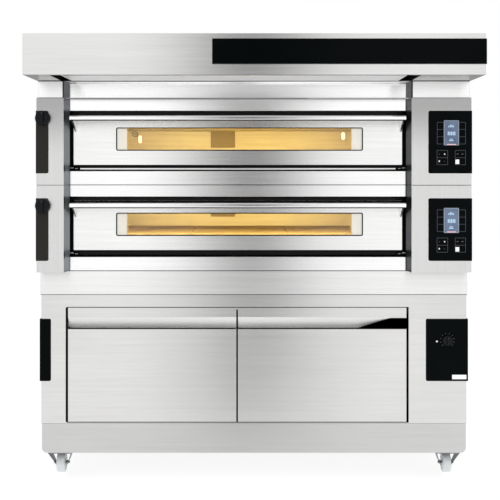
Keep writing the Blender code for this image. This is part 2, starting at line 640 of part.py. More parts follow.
def make_tray_rack():
    """Runners for dough trays on both sides of the cabin, folded from one sheet with the back."""
    y = (-0.330, 0.610)
    bottom, top = 0.300, 0.645
    sheet = 0.002
    lip = 0.022
    levels = 5
    pitch = (top - bottom) / levels

    def side_outline(wall, inward):
        points = [(wall, bottom), (wall, top), (wall + inward * sheet, top)]
        for level in reversed(range(levels)):
            z = bottom + level * pitch + 0.030
            points += [(wall + inward * sheet, z + sheet), (wall + inward * lip, z + sheet),
                       (wall + inward * lip, z), (wall + inward * sheet, z)]
        return points + [(wall + inward * sheet, bottom)]

    left, right = PROVER_CABIN_X[0] + 0.004, PROVER_CABIN_X[1] - 0.004
    rack = prism("tray_rack", side_outline(left, 1), "Y", y, STEEL)
    combine(rack, prism("tray_rack_right", side_outline(right, -1), "Y", y, STEEL), "UNION")
    back = box("tray_rack_back", (left + 0.0005, right - 0.0005), (y[1] - sheet, y[1] + 0.004),
               (bottom + 0.05, bottom + 0.15), STEEL)
    combine(rack, back, "UNION")


def make_prover_heater():
    """Low heater box with a folded vapour cover on the cabin floor."""
    z = PROVER_CABIN_Z[0] + GAP
    y = (0.250, 0.550)
    outline = [(-0.263, z), (0.137, z), (0.137, z + 0.040), (0.112, z + 0.055), (-0.238, z + 0.055),
               (-0.263, z + 0.040)]
    heater = prism("prover_heater", outline, "Y", y, GALVANISED)
    hollow = box("heater_hollow", (-0.236, 0.110), (y[0] + SHEET, y[1] + 0.01), (z + SHEET, z + 0.0525), STEEL)
    combine(heater, hollow)


# ---------------------------------------------------------------- castors
def make_caster(name, x, y):
    """Swivel castor: bearing head, crown with two splayed fork legs, and a plain-bore nylon wheel."""
    head_top = CASTER_HEIGHT - GAP
    crown_top, crown_low = head_top - 0.012, 0.0860
    swivel = pivot_at(name + "_caster_swivel", (x, y, head_top))
    leg_gap = WHEEL_HALF_WIDTH + 0.0020
    leg = 0.003
    splay = 0.0460          # half width across the crown
    axle_y = y + CASTER_TRAIL
    fork = turned(name + "_caster_fork", [(0, 0), (0.040, 0), (0.040, -0.004), (0.032, -0.008),
                                          (0.032, -0.013), (0, -0.013)],
                  (x, y, head_top), "Z", 20, ZINC, swivel)
    crown = skin(name + "_crown", [
        rect_z((x - splay, x + splay), (y - 0.024, y + 0.034), crown_low),
        rect_z((x - splay, x + splay), (y - 0.024, y + 0.034), crown_top)], ZINC, pivot=swivel)
    combine(fork, crown, "UNION")
    for side in (-1, 1):
        feet = [(crown_low + 0.001, splay - leg, y - 0.0235, y + 0.0335),
                (0.050, leg_gap + 0.0110, axle_y - 0.017, axle_y + 0.017),
                (0.028, leg_gap, axle_y - 0.008, axle_y + 0.008)]
        loops = [rect_z(sorted((x + side * inner, x + side * (inner + leg - 0.0002))), (front, back), z)
                 for z, inner, front, back in feet]
        combine(fork, skin(f"{name}_leg_{side}", loops, ZINC, pivot=swivel), "UNION")
    axle_half = leg_gap + leg + 0.0105
    axle = cylinder(name + "_axle", AXLE_RADIUS, (x - axle_half, axle_y, WHEEL_RADIUS), "X",
                    2 * axle_half, 16, ZINC, swivel)
    combine(fork, axle, "UNION")

    spin = pivot_at(name + "_caster_axle_axis", (x, axle_y, WHEEL_RADIUS))
    half, bore = WHEEL_HALF_WIDTH, AXLE_RADIUS + 0.0005
    profile = [(bore, -half), (WHEEL_RADIUS - 0.003, -half), (WHEEL_RADIUS, -half + 0.003),
               (WHEEL_RADIUS, half - 0.003), (WHEEL_RADIUS - 0.003, half), (bore, half)]
    turned(name + "_caster_wheel", profile, (x, axle_y, WHEEL_RADIUS), "X", 32, NYLON, spin, closed=True)


# ---------------------------------------------------------------- assembly
DECKS = {"lower": DECK_BASE, "upper": DECK_BASE + DECK_HEIGHT}
for deck_name, deck_base in DECKS.items():
    make_deck(deck_name, deck_base)
make_steam_duct(DECKS.values())
make_hood()
make_support_frame()
make_prover_cabinet()
make_prover_doors()
make_prover_base()
make_prover_panels()
make_tray_rack()
make_prover_heater()
for row, caster_y in zip(("front", "rear"), CASTER_Y):
    for hand, caster_x in (("left", -CASTER_X), ("right", CASTER_X)):
        make_caster(f"{row}_{hand}", caster_x, caster_y)
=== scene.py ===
from math import cos, pi, radians, sin

import bmesh
import bpy
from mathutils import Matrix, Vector


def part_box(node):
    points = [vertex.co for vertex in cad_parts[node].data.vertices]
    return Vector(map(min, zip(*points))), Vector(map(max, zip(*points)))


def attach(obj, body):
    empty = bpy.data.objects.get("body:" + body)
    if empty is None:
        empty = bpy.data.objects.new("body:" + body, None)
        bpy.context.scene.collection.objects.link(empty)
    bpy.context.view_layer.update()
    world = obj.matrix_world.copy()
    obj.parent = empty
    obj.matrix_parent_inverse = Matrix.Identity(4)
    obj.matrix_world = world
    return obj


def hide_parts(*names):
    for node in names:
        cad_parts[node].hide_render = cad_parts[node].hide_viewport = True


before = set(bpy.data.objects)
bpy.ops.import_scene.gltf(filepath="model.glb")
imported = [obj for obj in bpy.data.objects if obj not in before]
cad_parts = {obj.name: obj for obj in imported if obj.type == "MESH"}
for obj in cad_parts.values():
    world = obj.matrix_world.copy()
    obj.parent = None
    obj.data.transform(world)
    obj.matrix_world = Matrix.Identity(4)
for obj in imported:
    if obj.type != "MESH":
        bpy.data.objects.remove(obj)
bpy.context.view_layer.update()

# ---------------------------------------------------------------- castors
# Four swivel castors under the plinth.  Each has a zinc-plated pressed fork on a ball race, a hexagon
# bolt through the fork, and a moulded pale nylon wheel with a crowned tread and ribbed sides.


class Signal:
    """One output of a node in a shader or geometry tree; operators on it add Math nodes."""

    def __init__(self, socket):
        self.socket = socket

    def node(self, kind, settings=None, inputs=None, output=0):
        """Add any node: its settings first, then values or links for its sockets."""
        tree = self.socket.id_data
        made = tree.nodes.new(kind)
        for key, value in (settings or {}).items():
            if key == "stops":
                ramp = made.color_ramp
                while len(ramp.elements) < len(value):
                    ramp.elements.new(0.5)
                for element, (position, colour) in zip(ramp.elements, value):
                    element.position = position
                    element.color = (*colour, 1.0)
            else:
                setattr(made, key, value)
        for key, value in (inputs or {}).items():
            if isinstance(value, Signal):
                tree.links.new(value.socket, made.inputs[key])
            else:
                made.inputs[key].default_value = value
        return Signal(made.outputs[output])

    def sibling(self, output):
        return Signal(self.socket.node.outputs[output])

    def maths(self, operation, first, second=0.0):
        return self.node("ShaderNodeMath", {"operation": operation}, {0: first, 1: second})

    def __add__(self, other):
        return self.maths("ADD", self, other)

    __radd__ = __add__

    def __sub__(self, other):
        return self.maths("SUBTRACT", self, other)

    def __rsub__(self, other):
        return self.maths("SUBTRACT", other, self)

    def __mul__(self, other):
        return self.maths("MULTIPLY", self, other)

    __rmul__ = __mul__

    def __truediv__(self, other):
        return self.maths("DIVIDE", self, other)

    def __lt__(self, other):
        return self.maths("LESS_THAN", self, other)

    def ramp(self, low, high):
        """0 below low, 1 above high, and smooth between."""
        return self.node("ShaderNodeMapRange", {"interpolation_type": "SMOOTHSTEP"},
                         {0: self, 1: low, 2: high, 3: 0.0, 4: 1.0})

    def mix(self, low, high):
        """Colour that goes from low to high as this value goes from 0 to 1."""
        low, high = (c if isinstance(c, Signal) else (*c, 1.0) for c in (low, high))
        return self.node("ShaderNodeMix", {"data_type": "RGBA"}, {0: self, 6: low, 7: high}, 2)

    def vector(self, x, y, z):
        return self.node("ShaderNodeCombineXYZ", None, {0: x, 1: y, 2: z})

    def noise(self, scale, detail=2.0, roughness=0.5):
        return self.node("ShaderNodeTexNoise", None,
                         {"Vector": self, "Scale": scale, "Detail": detail, "Roughness": roughness})

    def cells(self, scale):
        return self.node("ShaderNodeTexVoronoi", None, {"Vector": self, "Scale": scale})

    def bump(self, strength, distance):
        return self.node("ShaderNodeBump", None, {"Strength": strength, "Distance": distance, "Height": self})


def new_finish(name, colour, roughness, metallic=0.0, **constants):
    """A Principled material with its constants set, its shader, and the object coordinates."""
    material = bpy.data.materials.new(name)
    material.use_nodes = True
    shader = material.node_tree.nodes["Principled BSDF"]
    shader.inputs["Base Color"].default_value = (*colour, 1.0)
    shader.inputs["Roughness"].default_value = roughness
    shader.inputs["Metallic"].default_value = metallic
    for socket, value in constants.items():
        shader.inputs[socket.replace("_", " ")].default_value = value
    coordinates = material.node_tree.nodes.new("ShaderNodeTexCoord")
    return material, shader, Signal(coordinates.outputs["Object"])


def feed(shader, **signals):
    """Link signals to a shader's sockets by name."""
    for socket, signal in signals.items():
        shader.id_data.links.new(signal.socket, shader.inputs[socket.replace("_", " ")])


def split(place):
    """The three object coordinates of a place."""
    x = place.node("ShaderNodeSeparateXYZ", None, {0: place})
    return x, x.sibling(1), x.sibling(2)


def as_mesh(name, bm):
    """A mesh with outward faces, smooth but for edges sharper than 35 degrees."""
    bmesh.ops.remove_doubles(bm, verts=bm.verts, dist=2e-6)
    bmesh.ops.recalc_face_normals(bm, faces=bm.faces)
    mesh = bpy.data.meshes.new(name)
    bm.to_mesh(mesh)
    bm.free()
    mesh.shade_smooth()
    mesh.set_sharp_from_angle(angle=radians(35))
    return mesh


def loft(loops, closed=False, name="part"):
    """A wall through equal loops of points; both ends are capped, or it closes on itself."""
    bm = bmesh.new()
    rows = [[bm.verts.new(point) for point in loop] for loop in loops]
    count = len(rows[0])
    pairs = list(zip(rows, rows[1:]))
    if closed:
        pairs.append((rows[-1], rows[0]))
    else:
        for loop, row in ((loops[0], rows[0]), (loops[-1], rows[-1])):
            if (Vector(loop[0]) - Vector(loop[count // 2])).length > 1e-5:
                bm.faces.new(row)
    for first, second in pairs:
        for i in range(count):
            j = (i + 1) % count
            bm.faces.new((first[i], first[j], second[j], second[i]))
    return as_mesh(name, bm)


def together(*meshes):
    """Several meshes as one."""
    bm = bmesh.new()
    for mesh in meshes:
        bm.from_mesh(mesh)
    return as_mesh("part", bm)


def turned(profile, centre, axis, segments=32, closed=False):
    """A profile of (radius, distance along the axis) points, spun about an axis through centre."""
    along = Vector(axis)
    side = Vector((0, 0, 1)) if abs(along.z) < 0.5 else Vector((1, 0, 0))
    other = along.cross(side)
    turns = [2 * pi * k / segments for k in range(segments)]
    return loft([[Vector(centre) + along * t + (side * cos(a) + other * sin(a)) * r for a in turns]
                 for r, t in profile], closed)


def copied(node):
    """A CAD node's shape as a clean mesh, with its loose triangles joined into faces."""
    bm = bmesh.new()
    bm.from_mesh(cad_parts[node].data)
    bmesh.ops.remove_doubles(bm, verts=bm.verts, dist=2e-5)
    bmesh.ops.dissolve_limit(bm, angle_limit=radians(0.5), verts=bm.verts, edges=bm.edges)
    return as_mesh(node, bm)


def piece(name, mesh, finish, body, stands_for=(), bevel=0.0, segments=2):
    """A finished piece, with softened edges, that rides on its body."""
    mesh.name = name
    mesh.materials.clear()
    mesh.materials.append(finish)
    made = bpy.data.objects.new(name, mesh)
    bpy.context.scene.collection.objects.link(made)
    if bevel:
        soften = made.modifiers.new("Softened edges", "BEVEL")
        soften.width = bevel
        soften.segments = segments
        soften.limit_method = "ANGLE"
        soften.angle_limit = radians(40)
        soften.harden_normals = True
    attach(made, body)
    if stands_for:
        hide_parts(*stands_for)
    return made


zinc, shader, place = new_finish("zinc plate", (0.30, 0.31, 0.31), 0.36, 1.0)
spangle = place.cells(160.0)
cloud = place.noise(30.0, 4.0)
feed(shader, Base_Color=spangle.mix((0.13, 0.14, 0.145), (0.30, 0.31, 0.32)),
     Roughness=0.26 + cloud * 0.26, Normal=cloud.bump(0.12, 0.0004))

nylon, shader, place = new_finish("pale nylon", (0.80, 0.83, 0.84), 0.34, Coat_Weight=0.15)
cloud = place.noise(60.0, 3.0)
scuff = place.noise(240.0, 5.0, 0.7).ramp(0.60, 0.78)
feed(shader, Base_Color=(cloud * 0.7 + scuff * 0.4).mix((0.84, 0.87, 0.88), (0.62, 0.64, 0.65)),
     Roughness=0.28 + scuff * 0.3, Normal=cloud.bump(0.08, 0.0004))

for row in ("front", "rear"):
    for hand in ("left", "right"):
        fork_name, wheel_name = f"{row}_{hand}_caster_fork", f"{row}_{hand}_caster_wheel"
        low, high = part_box(wheel_name)
        hub = (low + high) / 2
        half = (high.x - low.x) / 2
        radius = 0.040
        side = [(0.0055, half), (0.0120, half), (0.0135, half - 0.0025), (0.0275, half - 0.0025),
                (0.0300, half), (0.0365, half), (0.0392, half - 0.0022), (radius, half - 0.0070)]
        profile = [(r, -t) for r, t in side] + [(r, t) for r, t in reversed(side)]
        piece(f"{row}_{hand}_wheel_tyre", turned(profile, hub, (1, 0, 0), 64, True), nylon,
              f"{row}_{hand}_wheel", [wheel_name])
        swivel = f"{row}_{hand}_swivel"
        piece(f"{row}_{hand}_fork", copied(fork_name), zinc, swivel, [fork_name], 0.0010)
        nuts = [turned([(0.0, t), (0.0072, t), (0.0080, t + flat), (0.0080, t + 4 * flat),
                        (0.0072, t + 5 * flat), (0.0, t + 5 * flat)], hub, (1, 0, 0), 6)
                for t, flat in ((half + 0.0049, 0.0009), (-half - 0.0049, -0.0009))]
        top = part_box(fork_name)[1].z
        head = Vector((hub.x, hub.y - 0.024, top))
        race = turned([(0.0335, -0.0085), (0.0370, -0.0090), (0.0385, -0.0110), (0.0370, -0.0130),
                       (0.0325, -0.0130)], head, (0, 0, 1), 48, True)
        piece(f"{row}_{hand}_race_and_nuts", together(race, *nuts), zinc, swivel)

# ---------------------------------------------------------------- plinth and proving cabinet shell
# The prover stands on a folded plinth tray with rolled lower edges.  Plinth, cabinet and rails are
# satin-brushed stainless sheet with the grain running level, spot-welded and finished at the corners.


def brushed_steel(name, tone, roughness, upright=False, painted_shade=None, glow=0.0):
    """Satin stainless: grain lines along the sheet and soft clouds from handling.

    It can carry painted shade that darkens it between two heights, and a painted glow on its top under the
    hood."""
    material, shader, place = new_finish(name, tone, roughness, 1.0, Anisotropic=1.0,
                                         Anisotropic_Rotation=0.0 if upright else 0.25,
                                         Emission_Strength=glow)
    x, y, z = split(place)
    run, across = (z, x + y) if upright else (x + y, z)
    fine = place.vector(run * 5.0, across * 900.0, 0.0).noise(1.0, 2.0)
    broad = place.vector(run * 1.4, across * 70.0, 3.0).noise(1.0, 3.0)
    cloud = place.noise(3.2, 3.0)
    grain = fine * 0.6 + broad * 0.4
    dark = tuple(c * 0.90 for c in tone)
    light = tuple(min(c * 1.06, 0.98) for c in tone)
    colour = (grain * 0.7 + cloud * 0.3).ramp(0.25, 0.75).mix(dark, light)
    # Painted shade: the colour darkens towards 0.45 of its tone between the two heights.
    if painted_shade:
        start, end, amount = painted_shade
        colour = (z.ramp(start, end) * amount).mix(colour, tuple(c * 0.45 for c in tone))
    # Painted glow: where the top sits under the hood, it gives off a little white light of its own.
    if glow:
        painted_glow_under_hood = z.ramp(1.420, 1.436) * y.ramp(-0.457, -0.450) * (y < -0.380)
        feed(shader, Emission_Color=painted_glow_under_hood.mix((0.0, 0.0, 0.0), (1.0, 1.0, 1.0)))
    feed(shader, Base_Color=colour,
         Roughness=roughness - 0.06 + grain * 0.08 + cloud * 0.05,
         Normal=grain.bump(0.05, 0.0002))
    return material


# These copies of one stainless differ in tone to stand in for how light falls on each part: the fascia is
# painted lighter, and the hood, prover and plinth are painted darker, the plinth most.  The posts carry
# painted shade towards their tops under the hood, the hood's underside is painted darker, and the fascia
# carries the painted glow under the hood.
satin = brushed_steel("satin stainless, level grain", (0.86, 0.858, 0.852), 0.25)
satin_post = brushed_steel("satin stainless, upright grain", (0.87, 0.87, 0.865), 0.25, True,
                           (1.24, 1.46, 0.75))
satin_fascia = brushed_steel("stainless, level grain, painted lighter and glowing", (0.94, 0.94, 0.935), 0.17, glow=0.17)
satin_hood = brushed_steel("hood stainless, level grain", (0.74, 0.738, 0.728), 0.24, False,
                           (1.5420, 1.5412, 0.70))
satin_door = brushed_steel("door stainless, level grain", (0.88, 0.878, 0.87), 0.175)
satin_prover = brushed_steel("prover stainless, level grain", (0.715, 0.712, 0.704), 0.19)
satin_plinth = brushed_steel("stainless, level grain, painted darker", (0.60, 0.60, 0.595), 0.21)

piece("prover_plinth", copied("prover_base"), satin_plinth, "oven", ["prover_base"],
      0.0012)
piece("prover_shell", copied("prover_cabinet"), satin_prover, "oven",
      ["prover_cabinet"], 0.0008)

# ---------------------------------------------------------------- prover interior
# Tray runners on both sides are folded stainless ledges; the heater is a galvanised box with a folded
# vapour cover, and it blows through two rows of punched slots in its front.
galvanised, shader, place = new_finish("galvanised sheet", (0.55, 0.56, 0.57), 0.42, 1.0)
flake = place.cells(55.0)
cloud = place.noise(9.0, 3.0)
feed(shader, Base_Color=(flake * 0.7 + cloud * 0.3).mix((0.38, 0.39, 0.40), (0.66, 0.67, 0.68)),
     Roughness=0.32 + flake * 0.22, Normal=flake.bump(0.06, 0.0003))

piece("tray_runners", copied("tray_rack"), satin, "oven", ["tray_rack"], 0.0005)
piece("vapour_cover", copied("prover_heater"), galvanised, "oven", ["prover_heater"],
      0.0010)


def repeats_tree():
    """A part set out in rows and columns, with every copy made real."""
    tree = bpy.data.node_groups.new("Rows and columns", "GeometryNodeTree")
    for label, kind in (("Part", "Object"), ("Columns", "Int"), ("Rows", "Int"), ("First", "Vector"),
                        ("Column step", "Vector"), ("Row step", "Vector"), ("Finish", "Material")):
        tree.interface.new_socket(label, in_out="INPUT", socket_type="NodeSocket" + kind)
    tree.interface.new_socket("Geometry", in_out="OUTPUT", socket_type="NodeSocketGeometry")
    entry, leave = tree.nodes.new("NodeGroupInput"), tree.nodes.new("NodeGroupOutput")
    given = {socket.name: Signal(socket) for socket in entry.outputs if socket.name}
    columns, start = given["Columns"], given["First"]
    line = start.node("GeometryNodeMeshLine", None, {"Count": columns * given["Rows"]})
    index = start.node("GeometryNodeInputIndex")
    row = start.maths("FLOOR", (index + 0.5) / columns)
    column = index - row * columns
    along, up = (start.node("ShaderNodeVectorMath", {"operation": "SCALE"}, {0: given[step], 3: number})
                 for step, number in (("Column step", column), ("Row step", row)))
    spot = start.node("ShaderNodeVectorMath", {"operation": "ADD"}, {0: along, 1: up})
    spot = start.node("ShaderNodeVectorMath", {"operation": "ADD"}, {0: spot, 1: start})
    points = start.node("GeometryNodeSetPosition", None, {"Geometry": line, "Position": spot})
    part = start.node("GeometryNodeObjectInfo", None, {"Object": given["Part"]}, "Geometry")
    copies = start.node("GeometryNodeInstanceOnPoints", None, {"Points": points, "Instance": part})
    real = start.node("GeometryNodeRealizeInstances", None, {"Geometry": copies})
    painted = start.node("GeometryNodeSetMaterial", None, {"Geometry": real, "Material": given["Finish"]})
    tree.links.new(painted.socket, leave.inputs[0])
    return tree


REPEATS = repeats_tree()


def grown_from(tree, part, finish, **values):
    """The plain mesh that a tree makes from one part."""
    pattern = bpy.data.objects.new("pattern", part)
    carrier = bpy.data.objects.new("carrier", bpy.data.meshes.new("carrier"))
    for helper in (pattern, carrier):
        bpy.context.scene.collection.objects.link(helper)
    settings = {"Part": pattern, "Finish": finish, **{k.replace("_", " "): v for k, v in values.items()}}
    modifier = carrier.modifiers.new("Tree", "NODES")
    modifier.node_group = tree
    for item in tree.interface.items_tree:
        if item.in_out == "INPUT":
            modifier[item.identifier] = settings[item.name]
    bpy.context.view_layer.update()
    mesh = bpy.data.meshes.new_from_object(carrier.evaluated_get(bpy.context.evaluated_depsgraph_get()))
    carrier.modifiers.remove(modifier)
    for helper in (carrier, pattern):
        bpy.data.objects.remove(helper)
    return mesh


def repeated(part, finish, columns, rows, first, column_step=(0, 0, 0), row_step=(0, 0, 0)):
    """Copies of a part in rows and columns, as one mesh."""
    return grown_from(REPEATS, part, finish, Columns=columns, Rows=rows, First=Vector(first),
                      Column_step=Vector(column_step), Row_step=Vector(row_step))


def rounded(x, z, radius, steps=5):
    """A rectangle from spans x and z as (x, z) points, with one radius or four at its corners."""
    radii = radius if isinstance(radius, tuple) else (radius,) * 4
    corners = ((x[1], z[0], -1, 1, -90), (x[1], z[1], -1, -1, 0),
               (x[0], z[1], 1, -1, 90), (x[0], z[0], 1, 1, 180))
    outline = []
    for (a, b, to_x, to_z, start), r in zip(corners, radii):
        for k in range(steps + 1):
            angle = radians(start + 90 * k / steps)
            outline.append((a + to_x * r + r * cos(angle), b + to_z * r + r * sin(angle)))
    return outline


def at_y(outline, y):
    """A flat outline set at one depth."""
    return [(a, y, b) for a, b in outline]


def at_x(outline, x):
    """A flat outline set at one place across."""
    return [(x, a, b) for a, b in outline]


def at_z(outline, z):
    """A flat outline set at one height."""
    return [(a, b, z) for a, b in outline]


def grow(span, margin):
    """A span made longer by a margin at both ends."""
    return (span[0] - margin, span[1] + margin)


def slab(x, y, z, radius=0.0005, steps=2):
    """A plate with rounded upright corners."""
    return loft([at_z(rounded(x, y, radius, steps), z[0]), at_z(rounded(x, y, radius, steps), z[1])])


def pane(x, z, y, radius=0.0005, steps=5):
    """A plate that faces the front, with rounded corners."""
    return loft([at_y(rounded(x, z, radius, steps), y[0]), at_y(rounded(x, z, radius, steps), y[1])])


soot, shader, place = new_finish("matt black enamel", (0.003, 0.003, 0.004), 0.55, Specular_IOR_Level=0.08)
speck = place.noise(300.0, 4.0, 0.6)
feed(shader, Base_Color=speck.mix((0.002, 0.002, 0.003), (0.006, 0.006, 0.006)),
     Roughness=0.42 + speck * 0.25, Normal=speck.bump(0.15, 0.0003))

low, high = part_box("prover_heater")
slot = pane((-0.016, 0.016), (-0.0025, 0.0025), (-0.0006, 0.0002), 0.0024)
slots = repeated(slot, soot, 7, 2, (low.x + 0.060, low.y, low.z + 0.014), (0.047, 0, 0), (0, 0, 0.014))
piece("heater_slots", slots, soot, "oven")

# ---------------------------------------------------------------- prover doors
# Two flush double-skinned doors, each with a finger pocket folded in near its top; the slope over the
# pocket is bead-blasted, and the black strip below it is painted shadow in the pocket's mouth.  They hang at
# their outer edges on zinc-plated pins.  Black strips set in the gaps round them are painted shadow, and a
# black strip closes the joint above the cabinet.
blasted, shader, place = new_finish("blasted stainless fold", (0.90, 0.90, 0.89), 0.5, 0.3)
bead = place.noise(500.0, 3.0)
feed(shader, Base_Color=bead.mix((0.86, 0.86, 0.85), (0.93, 0.93, 0.92)), Roughness=0.45 + bead * 0.12)

for hand in ("left", "right"):
    node = f"prover_{hand}_door"
    body = f"{hand}_prover_door"
    low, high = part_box(node)
    front, back = low.y, high.y
    side = [(front, low.z), (front, 0.5870), (front + 0.0040, 0.5870), (front + 0.0040, 0.5750),
            (front + 0.0240, 0.5750), (front + 0.0240, 0.5860), (front + 0.0215, 0.5885), (front, 0.6310),
            (front, high.z), (back, high.z), (back, low.z)]
    panel = loft([at_x(side, low.x), at_x(side, high.x)])
    panel.set_sharp_from_angle(angle=radians(15))
    piece(f"{hand}_door_panel", panel, satin_prover, body, [node], 0.0009)
    fold = loft([at_x([(front + 0.0213, 0.5893), (front + 0.0003, 0.6306), (front - 0.0001, 0.6304),
                       (front + 0.0209, 0.5891)], x) for x in (low.x + 0.0006, high.x - 0.0006)])
    piece(f"{hand}_door_fold", fold, blasted, body)
    # Painted shadow: a black strip along the panel's top edge, where the pocket's mouth lies in shade.
    lip = slab((low.x + 0.0010, high.x - 0.0010), (front - 0.0003, front + 0.0046), (0.5838, 0.5876))
    piece(f"{hand}_door_lip", lip, soot, body)
    seal_x, seal_z = (low.x + 0.020, high.x - 0.020), (low.z + 0.020, high.z - 0.020)
    seal_width = 0.0100
    outer = rounded(seal_x, seal_z, 0.008)
    inner = rounded(grow(seal_x, -seal_width), grow(seal_z, -seal_width), 0.004)
    gasket = loft([at_y(outer, back - 0.0005), at_y(outer, back + 0.0003), at_y(inner, back + 0.0003),
                   at_y(inner, back - 0.0005)], closed=True)
    piece(f"{hand}_door_seal", gasket, soot, body)
    hinge_x = low.x + 0.005 if hand == "left" else high.x - 0.005
    knuckle = turned([(0.0, -0.0012), (0.0030, -0.0012), (0.0030, 0.0010), (0.0, 0.0010)], (0, 0, 0),
                     (0, 0, 1), 20)
    pins = repeated(knuckle, zinc, 1, 2, (hinge_x, low.y + 0.010, low.z - 0.0008), (0, 0, 0),
                    (0, 0, high.z - low.z + 0.0014))
    piece(f"{hand}_door_pins", pins, zinc, body)

low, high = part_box("prover_left_door")
right_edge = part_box("prover_right_door")[1].x
full_width, full_height = (low.x - 0.0048, right_edge + 0.0078), (low.z, low.z + 0.4430)
sunk, proud = (low.y + 0.0015, low.y + 0.0024), (low.y - 0.0004, low.y + 0.0006)
# Painted shadow: black strips sit in the gaps beside and below the prover doors, with proud strips along
# their top and beside the left door.
gap_shadow_strips = together(pane((low.x - 0.0048, low.x - 0.0002), full_height, sunk),
                  pane((right_edge + 0.0002, right_edge + 0.0078), full_height, sunk),
                  pane(full_width, (low.z - 0.0030, low.z - 0.0003), sunk),
                  pane(full_width, (high.z + 0.0001, high.z + 0.0024), proud),
                  pane((low.x - 0.0088, low.x - 0.0012), full_height, proud))
piece("prover_edging", gap_shadow_strips, soot, "oven")
low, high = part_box("support_frame")
strip = pane((low.x + 0.0010, high.x - 0.0010), (low.z - 0.0010, low.z + 0.0010),
             (low.y - 0.0004, low.y + 0.0004))
piece("prover_joint_strip", strip, soot, "oven")

# ---------------------------------------------------------------- prover corner panels
# Gloss black panels wrap both front corners of the prover.  The right one carries the thermostat: a
# charcoal knob over printed ticks, a small neon lens, and a blank white rating label.
gloss, shader, place = new_finish("gloss black panel", (0.002, 0.003, 0.003), 0.10, Specular_IOR_Level=0.03)
haze = place.noise(7.0, 3.0)
dust = place.noise(420.0, 2.0).ramp(0.62, 0.80)
feed(shader, Base_Color=haze.mix((0.0010, 0.0016, 0.0020), (0.0030, 0.0045, 0.0050)),
     Roughness=0.07 + haze * 0.07 + dust * 0.1)

charcoal, shader, place = new_finish("moulded charcoal", (0.008, 0.010, 0.011), 0.42, Specular_IOR_Level=0.15)
pits = place.cells(900.0)
haze = place.noise(40.0, 3.0)
feed(shader, Base_Color=haze.mix((0.004, 0.006, 0.007), (0.011, 0.013, 0.014)), Roughness=0.36 + pits * 0.18,
     Normal=pits.bump(0.10, 0.0002))


def printed(name, colour, glow=0.0):
    """Screen-print ink or a lit area on a panel, with the slight unevenness of ink."""
    material, shader, place = new_finish(name, colour, 0.45, Emission_Strength=glow)
    ink = place.noise(900.0, 2.0)
    tint = ink.mix(tuple(c * 0.86 for c in colour), colour)
    feed(shader, Base_Color=tint, Emission_Color=tint, Roughness=0.38 + ink * 0.14)
    return material


# The white and grey inks carry a slight painted glow, so the marks read brighter than ink under the lights
# alone.
white_print = printed("white print", (0.86, 0.88, 0.88), 0.35)
grey_print = printed("grey print", (0.11, 0.12, 0.13), 0.10)


def corner_panel(node, radius, wall):
    """Front plate with rounded inner corners and the return that turns round the oven's corner."""
    low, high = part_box(node)
    right = low.x > 0
    round_corners = (0.0004, 0.0004, radius, radius) if right else (radius, radius, 0.0004, 0.0004)
    front = pane((low.x, high.x), (low.z, high.z), (low.y, low.y + wall), round_corners, 6)
    outer = high.x if right else low.x
    inner = outer - wall if right else outer + wall
    turn = slab(sorted((outer, inner)), (low.y, high.y), (low.z, high.z))
    return together(front, turn)


for node in ("prover_left_panel", "prover_right_panel"):
    piece(node + "_gloss", corner_panel(node, 0.006, 0.0027), gloss, "oven", [node], 0.0008)

low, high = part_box("prover_right_panel")
dial, dial_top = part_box("thermostat_knob")
dial_centre = Vector(((dial.x + dial_top.x) / 2, low.y, (dial.z + dial_top.z) / 2))
ring_tree = bpy.data.node_groups.new("Ring of marks", "GeometryNodeTree")
for label, kind in (("Part", "Object"), ("Count", "Int"), ("Radius", "Float"), ("First angle", "Float"),
                    ("Angle step", "Float"), ("Centre", "Vector"), ("Finish", "Material")):
    ring_tree.interface.new_socket(label, in_out="INPUT", socket_type="NodeSocket" + kind)
ring_tree.interface.new_socket("Geometry", in_out="OUTPUT", socket_type="NodeSocketGeometry")
entry, leave = ring_tree.nodes.new("NodeGroupInput"), ring_tree.nodes.new("NodeGroupOutput")
given = {socket.name: Signal(socket) for socket in entry.outputs if socket.name}
start = given["Centre"]
line = start.node("GeometryNodeMeshLine", None, {"Count": given["Count"]})
angle = given["First angle"] + start.node("GeometryNodeInputIndex") * given["Angle step"]
spoke = start.vector(start.maths("SINE", angle) * given["Radius"], 0.0,
                     start.maths("COSINE", angle) * given["Radius"])
spot = start.node("ShaderNodeVectorMath", {"operation": "ADD"}, {0: spoke, 1: start})
points = start.node("GeometryNodeSetPosition", None, {"Geometry": line, "Position": spot})
part = start.node("GeometryNodeObjectInfo", None, {"Object": given["Part"]}, "Geometry")
copies = start.node("GeometryNodeInstanceOnPoints", None,
                    {"Points": points, "Instance": part, "Rotation": start.vector(0.0, angle, 0.0)})
real = start.node("GeometryNodeRealizeInstances", None, {"Geometry": copies})
painted = start.node("GeometryNodeSetMaterial", None, {"Geometry": real, "Material": given["Finish"]})
ring_tree.links.new(painted.socket, leave.inputs[0])


def marks(part, finish, count, radius, first, step, centre):
    """Copies of a part round a ring, as one mesh."""
    return grown_from(ring_tree, part, finish, Count=count, Radius=radius, First_angle=radians(first),
                      Angle_step=radians(step), Centre=Vector(centre))


tick = pane((-0.0008, 0.0008), (-0.0022, 0.0022), (-0.0002, 0.0001), 0.0004, 2)
piece("thermostat_ticks", marks(tick, grey_print, 10, 0.0265, -135, 30, dial_centre), grey_print, "oven")
lens = turned([(0.0, -0.0022), (0.0022, -0.0018), (0.0034, -0.0006), (0.0036, 0.0002), (0.0, 0.0002)],
              (0.709, low.y, 0.537), (0, 1, 0), 24)
piece("thermostat_neon", lens, white_print, "oven")
piece("rating_label", pane((0.768, 0.8235), (0.3905, 0.4075), (low.y - 0.0003, low.y + 0.0002), 0.0012),
      white_print, "oven")


